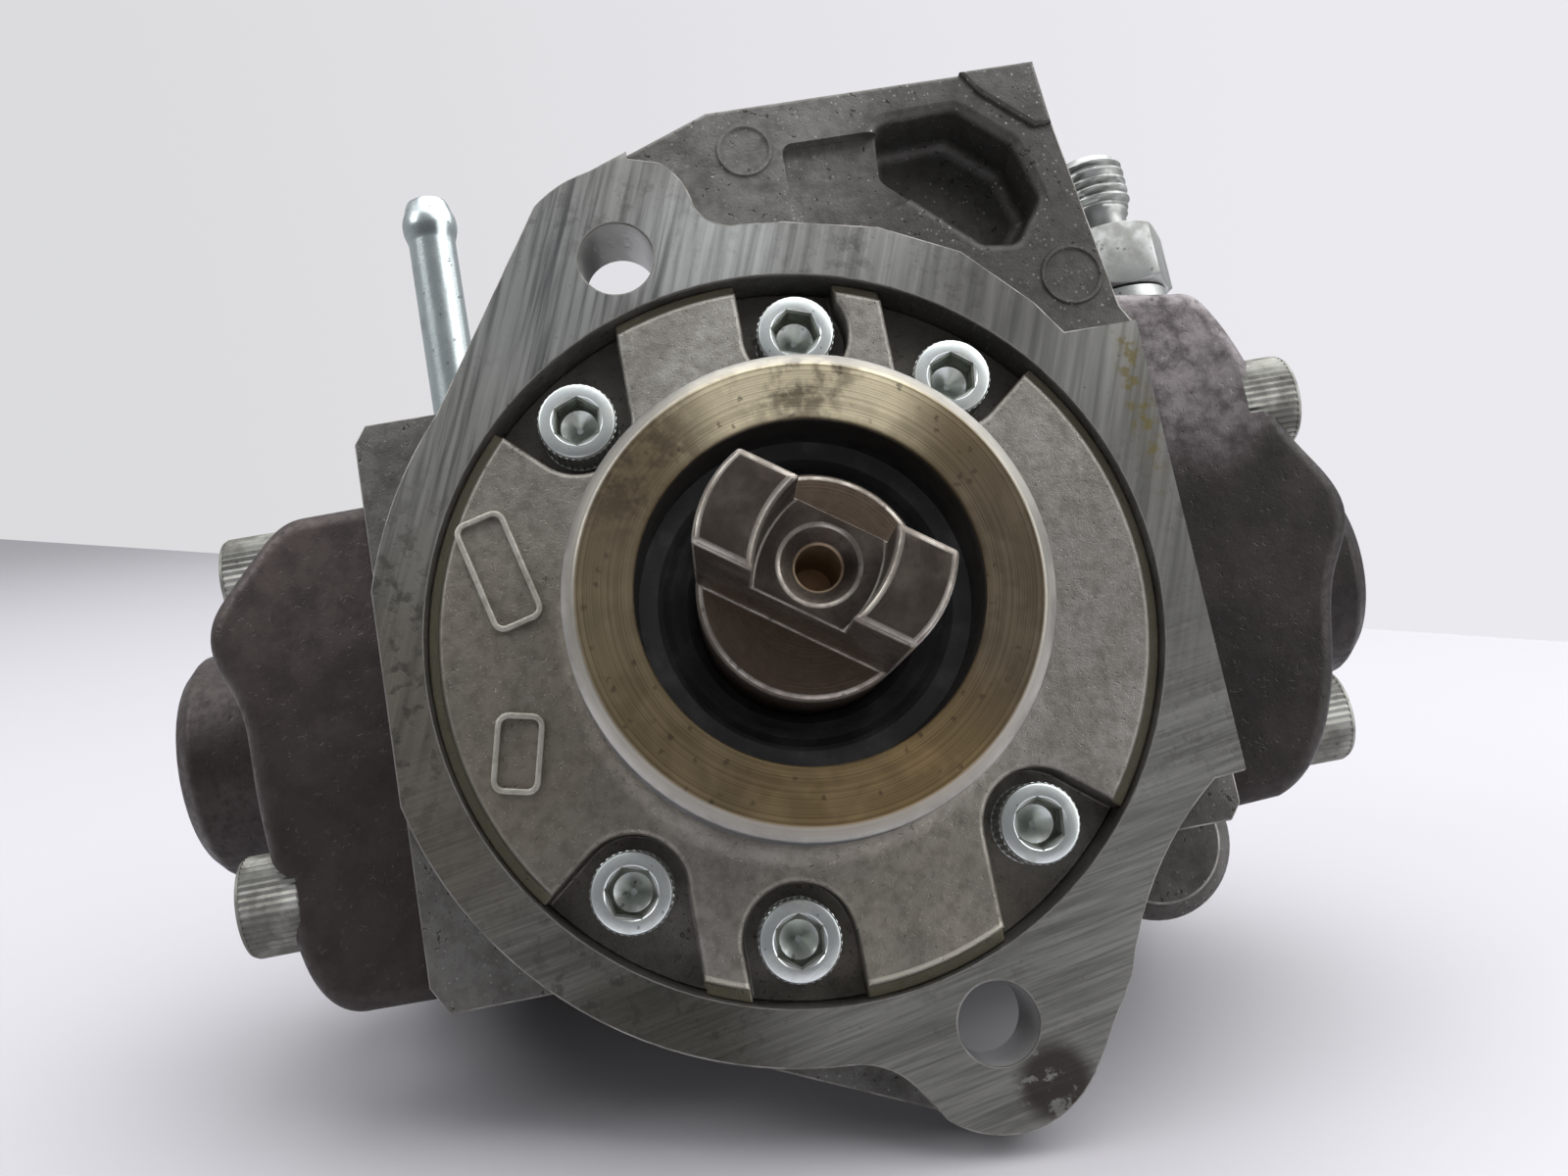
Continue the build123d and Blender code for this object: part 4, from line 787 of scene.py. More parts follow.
class Bench:
    """The modelling bench: primitives, edit-mode steps and finishing modifiers."""

    SHARP_DEGREES = 38.0
    FLAT_DEGREES = 0.6
    CREASE_DEGREES = 32.0
    MERGE_MM = 0.002
    ROOM_FOR_WIDTH = 1.6

    @staticmethod
    def clear() -> None:
        """Leave edit mode and deselect everything."""
        if bpy.context.object is not None and bpy.context.object.mode != "OBJECT":
            bpy.ops.object.mode_set(mode="OBJECT")
        bpy.ops.object.select_all(action="DESELECT")

    @classmethod
    def take(cls, obj: Piece) -> None:
        """Select one object and make it active."""
        cls.clear()
        obj.select_set(True)
        bpy.context.view_layer.objects.active = obj

    @classmethod
    def modify(cls, obj: Piece, kind: str, **settings: object) -> None:
        """Add a modifier and apply it.

        Args:
            obj: The piece.
            kind: The modifier's type.
            settings: Its properties.
        """
        cls.take(obj)
        made = obj.modifiers.new(kind.lower(), kind)
        for name, value in settings.items():
            setattr(made, name, value)
        bpy.ops.object.modifier_apply(modifier=made.name)

    @classmethod
    def carve(cls, obj: Piece, tool: Piece, operation: str = "DIFFERENCE") -> None:
        """Cut a piece with a tool, which is used up."""
        cls.modify(obj, "BOOLEAN", object=tool, operation=operation, solver="EXACT")
        bpy.data.objects.remove(tool)

    @classmethod
    def smooth(cls, obj: Piece, degrees: float = 35.0) -> None:
        """Shade smooth, with creases sharper than the angle kept."""
        cls.take(obj)
        bpy.ops.object.shade_smooth_by_angle(angle=math.radians(degrees))

    @classmethod
    def turned(cls, name: str, rings: list[Pair], sides: int) -> Piece:
        """Turn a closed piece: a disc that is extruded and resized ring by ring along Z.

        Args:
            name: The piece's name.
            rings: Radius and height of each ring in millimetres, from the lowest up.
            sides: Number of sides.

        Returns:
            The piece, with its lowest ring first.
        """
        cls.clear()
        radius, height = rings[0]
        place = (0, 0, height * MM)
        bpy.ops.mesh.primitive_circle_add(vertices=sides, radius=radius * MM, fill_type="NGON", location=place)
        obj = bpy.context.object
        obj.name = name
        bpy.ops.object.transform_apply(location=True)
        bpy.ops.object.mode_set(mode="EDIT")
        bpy.ops.mesh.select_all(action="SELECT")
        for next_radius, next_height in rings[1:]:
            rise = (0, 0, (next_height - height) * MM)
            bpy.ops.mesh.extrude_region_move(TRANSFORM_OT_translate={"value": rise})
            scale = next_radius / radius
            bpy.ops.transform.resize(value=(scale, scale, 1.0), center_override=(0, 0, next_height * MM))
            radius, height = next_radius, next_height
        bpy.ops.mesh.select_all(action="SELECT")
        bpy.ops.mesh.normals_make_consistent(inside=False)
        bpy.ops.object.mode_set(mode="OBJECT")
        return obj

    @classmethod
    def hexagonal(cls, across: float, depth: float, middle: float = 0.0) -> Piece:
        """Add a hexagonal bar on the Z axis.

        Args:
            across: Width across flats in millimetres.
            depth: Length of the bar in millimetres.
            middle: Height of its middle in millimetres.

        Returns:
            The bar.
        """
        cls.clear()
        radius, place = across / math.sqrt(3) * MM, (0, 0, middle * MM)
        bpy.ops.mesh.primitive_cylinder_add(vertices=6, radius=radius, depth=depth * MM, location=place)
        return bpy.context.object

    @classmethod
    def copy_to(cls, obj: Piece, name: str, place: Matrix) -> Piece:
        """Copy a piece with its own mesh and put it in its place.

        Args:
            obj: The piece to copy.
            name: The copy's name.
            place: The turn and move to put into the mesh.

        Returns:
            The copy, whose object sits at the origin.
        """
        made = obj.copy()
        made.data = obj.data.copy()
        made.name = name
        bpy.context.scene.collection.objects.link(made)
        made.data.transform(place)
        made.data.update()
        return made

    @staticmethod
    def _weigh_edges(data: bpy.types.Mesh, shortest: float) -> None:
        """Mark the sharp edges that have room to be rounded.

        Args:
            data: The mesh.
            shortest: Edges shorter than this leave no room at their ends.
        """
        mesh = bmesh.new()
        mesh.from_mesh(data)
        layer = mesh.edges.layers.float.new("bevel_weight_edge")
        least = math.radians(Bench.SHARP_DEGREES)
        sharp = {e for e in mesh.edges if len(e.link_faces) == 2 and e.calc_face_angle() > least}
        busy = {v for e in sharp if e.calc_length() < shortest for v in e.verts}
        for edge in sharp:
            edge[layer] = 0.0 if any(v in busy for v in edge.verts) else 1.0
        mesh.to_mesh(data)
        mesh.free()

    @staticmethod
    def _refill(data: bpy.types.Mesh, corners_kept: int = 12) -> None:
        """Divide the flat many-cornered faces into triangles that keep to their outline.

        Args:
            data: The mesh.
            corners_kept: Faces with no more corners than this stay as they are.
        """
        mesh = bmesh.new()
        mesh.from_mesh(data)
        for face in [f for f in mesh.faces if len(f.verts) > corners_kept]:
            corners = list(face.verts)
            normal, origin = face.normal.copy(), corners[0].co.copy()
            across = normal.orthogonal().normalized()
            upward = normal.cross(across)
            flat = [Vector(((v.co - origin).dot(across), (v.co - origin).dot(upward))) * 1000 for v in corners]
            points, _, triangles, came_from, _, _ = delaunay_2d_cdt(flat, [], [list(range(len(flat)))], 1, 1e-5)
            spots = [
                corners[old[0]] if old else mesh.verts.new(origin + (across * point.x + upward * point.y) * MM)
                for point, old in zip(points, came_from)
            ]
            index, soft = face.material_index, face.smooth
            mesh.faces.remove(face)
            for triangle in triangles:
                three = [spots[i] for i in triangle]
                if len(set(three)) == 3 and mesh.faces.get(three) is None:
                    made = mesh.faces.new(three)
                    made.material_index, made.smooth = index, soft
        mesh.normal_update()
        mesh.to_mesh(data)
        mesh.free()

    @classmethod
    def softened(cls, node: str, name: str, width: float, finishes: tuple[Finish, Finish], segments: int) -> Piece:
        """Copy a solid's mesh, round its sharp edges and give it its materials.

        Args:
            node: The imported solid.
            name: The new piece's name.
            width: Width of the rounding in millimetres.
            finishes: The finishes of its faces and of its rounded edges.
            segments: Number of facets over each rounding.

        Returns:
            The new piece.
        """
        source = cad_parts[node]
        made = source.copy()
        made.data = source.data.copy()
        made.name = name
        made.parent = None
        for key in list(made.keys()):
            del made[key]
        bpy.context.scene.collection.objects.link(made)
        made.data.materials.clear()
        for finish in finishes:
            made.data.materials.append(finish.material())
        for face in made.data.polygons:
            face.material_index = 0
        cls.take(made)
        bpy.ops.object.mode_set(mode="EDIT")
        bpy.ops.mesh.select_all(action="SELECT")
        bpy.ops.mesh.customdata_custom_splitnormals_clear()
        bpy.ops.mesh.remove_doubles(threshold=cls.MERGE_MM * MM)
        bpy.ops.mesh.dissolve_limited(angle_limit=math.radians(cls.FLAT_DEGREES))
        bpy.ops.mesh.normals_make_consistent(inside=False)
        bpy.ops.object.mode_set(mode="OBJECT")
        cls._weigh_edges(made.data, cls.ROOM_FOR_WIDTH * width * MM)
        cls.modify(made, "BEVEL", width=width * MM, segments=segments, limit_method="WEIGHT",
                   use_clamp_overlap=False, material=1, harden_normals=False)
        cls._refill(made.data)
        cls.smooth(made, cls.CREASE_DEGREES)
        cls.modify(made, "WEIGHTED_NORMAL", weight=80, keep_sharp=True)
        return made


def dress(obj: Piece, finish: Finish, node: str = "") -> None:
    """Give a piece of the housing its finish and its place in the record.

    Args:
        obj: The piece.
        finish: Its finish.
        node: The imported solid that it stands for, if any.
    """
    obj.data.materials.clear()
    obj.data.materials.append(finish.material())
    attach(obj, "housing")
    if node:
        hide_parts(node)


def moved(x: float, y: float, z: float) -> Matrix:
    """Move the origin to a place in millimetres."""
    return Matrix.Translation(Vector((x, y, z)) * MM)


def outward(side: Side, y: float, z: float, x: float) -> Matrix:
    """Turn +Z to a side's outward X and move the origin, with x counted from the middle."""
    return moved(side.value * x, y, z) @ Matrix.Rotation(side.value * math.pi / 2, 4, "Y")


def forward(x: float, z: float, y: float) -> Matrix:
    """Turn +Z to -Y and move the origin to a place in millimetres."""
    return moved(x, y, z) @ Matrix.Rotation(math.pi / 2, 4, "X")


def backward(x: float, z: float, y: float) -> Matrix:
    """Turn +Z to +Y and move the origin to a place in millimetres."""
    return moved(x, y, z) @ Matrix.Rotation(-math.pi / 2, 4, "X")


@dataclass
class Shell:
    """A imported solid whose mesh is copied, with its sharp edges rounded."""

    node: str
    name: str
    edge_width: float
    finish: Finish
    slot: str
    edge: Finish | None = None
    segments: int = 2
    body: str = "housing"

    def build(self) -> Piece:
        """Make the piece and let it stand for its solid.

        Returns:
            The piece.
        """
        finishes = (self.finish, self.edge or self.finish)
        made = Bench.softened(self.node, self.name, self.edge_width, finishes, self.segments)
        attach(made, self.body)
        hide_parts(self.node)
        LOG.info("%s", self.name)
        return made


@dataclass
class SocketScrew:
    """A socket head screw with knurled sides, made once and copied to each place."""

    name: str
    thread_radius: float
    head_radius: float
    head_height: float
    length: float
    socket: float
    socket_depth: float
    knurls: int = 36
    knurl_depth: float = 0.16
    rim: float = 0.5
    lead_in: float = 0.5
    drill_rise: float = 1.2

    def model(self) -> Piece:
        """Model the screw with the top of its head at the origin and its axis on Z.

        Returns:
            The screw.
        """
        head, height, rim = self.head_radius, self.head_height, self.rim
        rings = [
            (0.8 * self.thread_radius, -height - self.length), (self.thread_radius, -height - self.length + 0.8),
            (self.thread_radius, -height), (head - 0.25, -height), (head, -height + 0.3), (head, -height + 0.31),
            (head, -1.05 * rim - 0.01), (head - 0.06, -rim), (head - 0.45 * rim, -0.22 * rim), (head - rim, 0.0),
            (0.66 * head, 0.0), (0.63 * head, -0.12), (0.5, -0.14),
        ]
        obj = Bench.turned(self.name, rings, 2 * self.knurls)
        self._knurl(obj)
        Bench.carve(obj, Bench.hexagonal(self.socket + self.lead_in, 0.7))
        Bench.carve(obj, Bench.hexagonal(self.socket, 2 * self.socket_depth))
        reach, floor = 0.46 * self.socket, -self.socket_depth
        point = [(0.4, floor - self.drill_rise), (reach, floor), (reach, 0.0)]
        Bench.carve(obj, Bench.turned("drill_point", point, 24))
        Bench.smooth(obj, 28.0)
        return obj

    def _knurl(self, obj: Piece) -> None:
        """Draw every second column of the head's side inwards.

        Args:
            obj: The screw.
        """
        Bench.take(obj)
        bpy.ops.object.mode_set(mode="EDIT")
        bpy.ops.mesh.select_all(action="DESELECT")
        mesh = bmesh.from_edit_mesh(obj.data)
        mesh.verts.ensure_lookup_table()
        for vertex in mesh.verts:
            radius = math.hypot(vertex.co.x, vertex.co.y) / MM
            column = round(math.atan2(vertex.co.y, vertex.co.x) / (math.pi / self.knurls))
            inside = -self.head_height + 0.3 < vertex.co.z / MM < -self.rim
            vertex.select = abs(radius - self.head_radius) < 0.01 and inside and column % 2 == 0
        mesh.select_flush(True)
        bmesh.update_edit_mesh(obj.data)
        scale = 1 - self.knurl_depth / self.head_radius
        bpy.ops.transform.resize(value=(scale, scale, 1.0), center_override=(0, 0, 0))
        bpy.ops.object.mode_set(mode="OBJECT")

    def place(self, places: list[Matrix], node: str, finish: Finish, darker: Finish) -> None:
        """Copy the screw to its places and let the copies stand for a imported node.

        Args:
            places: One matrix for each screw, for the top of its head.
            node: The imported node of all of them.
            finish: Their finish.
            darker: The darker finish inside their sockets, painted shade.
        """
        model = self.model()
        # Faces inside the socket get the darker finish: painted shade in the recess.
        painted_shade = []
        for face in model.data.polygons:
            inside = math.hypot(face.center.x, face.center.y) < 0.6 * self.head_radius * MM
            low = -0.3 * MM > face.center.z > -(self.socket_depth + 0.3) * MM
            painted_shade.append(int(inside and low))
        for count, matrix in enumerate(places):
            spin = Matrix.Rotation(0.7 * count * count + 0.2, 4, "Z")
            copy = Bench.copy_to(model, f"{self.name}_{count + 1}", matrix @ spin)
            dress(copy, finish, node)
            copy.data.materials.append(darker.material())
            copy.data.polygons.foreach_set("material_index", painted_shade)
        bpy.data.objects.remove(model)
        LOG.info("%s: %d pieces", self.name, len(places))


@dataclass
class PumpBody:
    """The die-cast body: flange, block and bosses, with the marks of its casting die."""

    edge_width: float = 0.22
    pin_marks: tuple = ((4.8, 63.4, 3.8), (44.0, 39.2, 4.2))
    mark_height: float = 0.35
    mark_depth: float = 0.82

    def build(self) -> None:
        """Soften the body's edges and add the ejector pin marks."""
        Shell("pump_body", "body_shell", self.edge_width, BODY_CAST, "body_aluminium", EDGE_METAL).build()
        top = self.mark_height
        for count, (x, z, radius) in enumerate(self.pin_marks):
            rings = [(radius, 0.0), (radius - 0.15, top), (radius - 0.55, top), (radius - 0.75, 0.05), (0.4, 0.04)]
            mark = Bench.turned(f"pin_mark_{count + 1}", rings, 48)
            mark.data.transform(forward(x, z, self.mark_depth))
            Bench.smooth(mark)
            dress(mark, BODY_CAST)
        LOG.info("%d pin marks", len(self.pin_marks))


@dataclass
class FrontCover:
    """The front cover with its pilot hub, raised cast frames painted lighter as a highlight, and socket screws."""

    edge_width: float = 0.3
    frames: tuple = ((-35.1, 13.0, 6.6, 14.8, 14.0), (-36.1, -9.5, 6.0, 9.8, -13.0))
    frame_depth: float = 0.62
    frame_corner: float = 1.6
    ridge: float = 0.75
    ridge_height: float = 0.75
    ridge_rounding: float = 0.18
    circle: float = 38.0
    angles: tuple = (79.8, 47.9, 126.7, 227.8, 259.6, 309.8)
    screw_top: float = 0.5

    def build(self) -> None:
        """Soften the cover, add its frames and its screws."""
        Shell("front_cover", "cover_shell", self.edge_width, COVER_CAST, "cover_aluminium", COVER_EDGE, 3).build()
        for count, values in enumerate(self.frames):
            self._frame(count, *values)
        turns = [math.radians(angle) for angle in self.angles]
        spots = [(self.circle * math.cos(turn), self.circle * math.sin(turn)) for turn in turns]
        screw = SocketScrew(
            "cover_screw", thread_radius=3.0, head_radius=5.0, head_height=6.0, length=17.6, socket=5.2,
            socket_depth=3.4,
        )
        screw.place([forward(x, z, self.screw_top) for x, z in spots], "cover_screws", SCREW_ZINC, SOCKET_SHADE)

    def _frame(self, count: int, x: float, z: float, width: float, height: float, lean: float) -> None:
        """Model one raised frame from a plane, lighter than the cover as a painted highlight.

        Args:
            count: Number of the frame.
            x: Its centre.
            z: Its centre's height.
            width: Outer width.
            height: Outer height.
            lean: Its lean in degrees.
        """
        Bench.clear()
        bpy.ops.mesh.primitive_plane_add(size=1.0)
        obj = bpy.context.object
        obj.name = f"cast_frame_{count + 1}"
        obj.scale = (width * MM, height * MM, 1.0)
        bpy.ops.object.transform_apply(scale=True)
        bpy.ops.object.mode_set(mode="EDIT")
        bpy.ops.mesh.select_all(action="SELECT")
        bpy.ops.mesh.bevel(offset=self.frame_corner * MM, segments=5, affect="VERTICES")
        bpy.ops.mesh.select_all(action="SELECT")
        bpy.ops.mesh.inset(thickness=self.ridge * MM)
        bpy.ops.mesh.delete(type="FACE")
        bpy.ops.mesh.select_all(action="SELECT")
        bpy.ops.mesh.extrude_region_move(TRANSFORM_OT_translate={"value": (0, 0, self.ridge_height * MM)})
        bpy.ops.mesh.select_all(action="SELECT")
        bpy.ops.mesh.normals_make_consistent(inside=False)
        bpy.ops.object.mode_set(mode="OBJECT")
        Bench.modify(obj, "BEVEL", width=self.ridge_rounding * MM, segments=2, limit_method="ANGLE")
        obj.data.transform(forward(x, z, self.frame_depth) @ Matrix.Rotation(math.radians(lean), 4, "Z"))
        Bench.smooth(obj)
        dress(obj, FRAME_CAST)
        LOG.info("%s", obj.name)


@dataclass
class Head:
    """A steel head with its knurled bolts."""

    side: Side
    finish: Finish
    edge_width: float = 0.6
    bolt_top: float = 74.5
    near_bolt: Pair = (16.0, 21.4)
    low_bolt: Pair = (24.5, -22.7)
    middle: float = 41.0

    def build(self) -> None:
        """Soften the head and put its four bolts in."""
        word, sign = self.side.word, self.side.value
        Shell(f"head_{word}", f"head_shell_{word}", self.edge_width, self.finish, "head_steel").build()
        screw = SocketScrew(
            f"head_bolt_{word}", thread_radius=4.0, head_radius=6.5, head_height=8.0, length=23.6, socket=6.2,
            socket_depth=4.0, knurls=44, knurl_depth=0.22, rim=0.6,
        )
        places = []
        for y, z in (self.near_bolt, self.low_bolt):
            for along, up in ((y, sign * z), (2 * self.middle - y, -sign * z)):
                places.append(outward(self.side, along, up, self.bolt_top))
        screw.place(places, f"head_bolts_{word}", BOLT_ZINC, BOLT_SOCKET_SHADE)


@dataclass
class Union:
    """The high-pressure union: collar, hexagon, neck and threaded tip."""

    x: float = 64.0
    y: float = 41.0
    pitch: float = 1.5
    thread_low: float = 63.4
    thread_high: float = 71.4
    thread_radius: float = 5.9
    thread_root: float = 5.1
    thread_depth: float = 0.88
    rings_on_thread: int = 40
    sides: int = 60
    across: float = 17.0
    hexagon: Pair = (48.5, 58.9)
    chamfer: float = 1.1
    foot: tuple[Pair, ...] = ((8.0, 45.7), (8.0, 48.2), (4.7, 48.6), (4.7, 62.2), (5.2, 62.8))
    mouth: tuple[Pair, ...] = ((4.9, 72.1), (3.9, 72.1), (2.0, 69.5), (2.0, 60.0))

    def build(self) -> None:
        """Model the union and its hexagon as two pieces."""
        low, high = self.thread_low, self.thread_high
        rings = list(self.foot)
        for step in range(self.rings_on_thread + 1):
            rings.append((self.thread_radius, low + (high - low) * step / self.rings_on_thread))
        rings += self.mouth
        stem = Bench.turned("union_stem", rings, self.sides)
        for vertex in stem.data.vertices:
            height = vertex.co.z / MM
            if low - 0.01 <= height <= high + 0.01:
                here = math.hypot(vertex.co.x, vertex.co.y) / MM
                radius = self._thread(math.atan2(vertex.co.y, vertex.co.x), height)
                vertex.co.x *= radius / here
                vertex.co.y *= radius / here
        stem.data.transform(moved(self.x, self.y, 0))
        Bench.smooth(stem, 50.0)
        dress(stem, UNION_ZINC, "high_pressure_union")
        self._hexagon()
        LOG.info("high-pressure union")

    def _thread(self, turn: float, height: float) -> float:
        """Find the thread's radius at a place, fading out at both ends.

        Args:
            turn: Angle around the axis.
            height: Height in millimetres.

        Returns:
            The radius in millimetres.
        """
        span = self.thread_high - self.thread_low
        phase = (height / self.pitch - turn / (2 * math.pi)) % 1.0
        crest = 0.5 - 0.5 * math.cos(2 * math.pi * phase)
        run_in, run_out = (height - self.thread_low) / (0.12 * span), (self.thread_high - height) / (0.08 * span)
        fade = max(0.0, min(1.0, run_in, run_out + 0.25))
        return self.thread_root + self.thread_depth * min(1.0, 1.25 * crest) * fade

    def _hexagon(self) -> None:
        """Model the hexagon with the rounded chamfers that a lathe gives it."""
        low, high = self.hexagon
        nut = Bench.hexagonal(self.across, high - low, (high + low) / 2)
        nut.name = "union_hexagon"
        bpy.ops.object.transform_apply(location=True)
        outline = [(8.2, low), (10.1, low + self.chamfer), (10.1, high - self.chamfer), (8.2, high)]
        Bench.carve(nut, Bench.turned("chamfer_tool", outline, 72), "INTERSECT")
        nut.data.transform(moved(self.x, self.y, 0) @ Matrix.Rotation(math.radians(30), 4, "Z"))
        Bench.modify(nut, "BEVEL", width=0.2 * MM, segments=2, limit_method="ANGLE", angle_limit=math.radians(25))
        Bench.smooth(nut, 25.0)
        dress(nut, UNION_ZINC)


@dataclass
class HoseSpout:
    """A plain pipe with a rolled bead for a hose."""

    name: str
    node: str
    radius: float
    bore: float
    bead: float
    low: float
    high: float
    place: Matrix

    def build(self) -> None:
        """Turn the spout with its bead and its open mouth."""
        r, bead, bore, top = self.radius, self.bead, self.bore, self.high
        rings = [
            (r, self.low), (r, top - 7.8), (r + 0.1, top - 7.2), (r + 0.42 * (bead - r), top - 6.6),
            (bead - 0.08, top - 5.6), (bead, top - 4.9), (bead, top - 4.0), (bead - 0.12, top - 3.2),
            (r + 0.05, top - 1.9), (r - 0.25, top - 0.8), (r - 0.55, top - 0.15), (r - 0.8, top),
            (bore + 0.15, top), (bore, top - 0.4), (bore, top - 9.0),
        ]
        spout = Bench.turned(self.name, rings, 56)
        spout.data.transform(self.place)
        Bench.smooth(spout, 40.0)
        dress(spout, FITTING_ZINC, self.node)
        LOG.info("%s", self.name)


@dataclass
class RearGroup:
    """Everything on the far side: rear cover, valve, sensor and their screws."""

    bolt_circle: float = 32.5
    bolt_top: float = 90.0
    control: Pair = (16.0, 54.0)
    control_pitch: float = 16.0
    control_top: float = 84.0
    shells: tuple[Shell, ...] = (
        Shell("rear_cover", "rear_cover_shell", 0.4, REAR_CAST, "cover_aluminium"),
        Shell("control_valve", "control_can", 0.25, FITTING_ZINC, "zinc_fitting"),
        Shell("control_connector", "control_plug_shell", 0.3, PLASTIC, "connector_plastic"),
        Shell("sensor_connector", "sensor_plug_shell", 0.25, PLASTIC, "connector_plastic"),
        Shell("temperature_sensor", "sensor_hexagon", 0.3, BRASS, "sensor_brass"),
        Shell("regulator_plug", "regulator_hexagon", 0.3, BOLT_ZINC, "zinc_fitting"),
        Shell("valve_plug_right", "side_plug_right", 0.25, BOLT_ZINC, "zinc_fitting"),
        Shell("valve_plug_left", "side_plug_left", 0.25, BOLT_ZINC, "zinc_fitting"),
    )

    def build(self) -> None:
        """Soften the rear castings and add their screws."""
        for shell in self.shells:
            shell.build()
        turns = [math.radians(45 + 90 * quarter) for quarter in range(4)]
        spots = [(self.bolt_circle * math.cos(turn), self.bolt_circle * math.sin(turn)) for turn in turns]
        rear = SocketScrew(
            "rear_bolt", thread_radius=3.0, head_radius=5.0, head_height=6.0, length=19.6, socket=5.0, socket_depth=3.2,
        )
        rear.place([backward(x, z, self.bolt_top) for x, z in spots], "rear_cover_bolts", SCREW_ZINC, SOCKET_SHADE)
        x, z = self.control
        small = SocketScrew(
            "control_screw", thread_radius=2.5, head_radius=4.25, head_height=5.0, length=13.6, socket=4.2,
            socket_depth=2.6, knurls=30,
        )
        places = [backward(x + sign * self.control_pitch, z, self.control_top) for sign in (-1, 1)]
        small.place(places, "control_screws", SCREW_ZINC, SOCKET_SHADE)


@dataclass
class CoilSpring:
    """A coil spring, copied from its solid and dressed."""

    node: str
    joint: str
    axis: tuple
    anchor: tuple
    travel: float
    length: float

    def build(self) -> None:
        """Copy the spring and dress it."""
        spring = Shell(self.node, f"coil_{self.node}", 0.05, SPRING_STEEL, "spring_steel").build()
        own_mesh(spring)


SPRINGS = (
    CoilSpring("plunger_spring_right", "right_piston_stroke", (1, 0, 0), (43.9, 41.0, 0.0), 5.8, 13.5),
    CoilSpring("plunger_spring_left", "left_piston_stroke", (1, 0, 0), (-43.9, 41.0, 0.0), 5.8, 13.5),
    CoilSpring("suction_spring_right", "right_suction_lift", (1, 0, 0), (72.9, 41.0, 0.0), 0.8, 9.2),
    CoilSpring("suction_spring_left", "left_suction_lift", (1, 0, 0), (-72.9, 41.0, 0.0), 0.8, 9.2),
    CoilSpring("delivery_spring", "delivery_lift", (0, 0, 1), (64.0, 41.0, 43.4), 0.8, 5.5),
    CoilSpring("control_spring", "needle_stroke", (0, 1, 0), (16.0, 84.9, 54.0), 3.0, 20.8),
    CoilSpring("regulator_spring", "regulator_stroke", (0, 1, 0), (47.4, 73.9, -35.8), 4.0, 19.8),
)

PLAIN_NODES: tuple[tuple[Finish, tuple[str, ...]], ...] = (
    (RUBBER, ("shaft_seal", "cover_o_ring", "pilot_o_ring", "head_o_ring_right", "head_o_ring_left",
              "rear_cover_o_ring", "control_o_ring")),
    (BRONZE, ("front_bush", "rear_bush", "cam_ring_bush")),
    (COPPER, ("union_washer",)),
    (SHAFT, ("cam_ring", "tappet_right", "tappet_left", "plunger_right", "plunger_left", "inner_rotor",
             "outer_rotor", "rotor_key", "suction_valve_right", "suction_valve_left", "delivery_ball",
             "control_needle", "regulator_piston")),
)


def dress_nodes() -> None:
    """Give the carried-over solids their finishes."""
    for finish, nodes in PLAIN_NODES:
        for node in nodes:
            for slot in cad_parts[node].material_slots:
                slot.material = finish.material()
            LOG.info("%s", node)


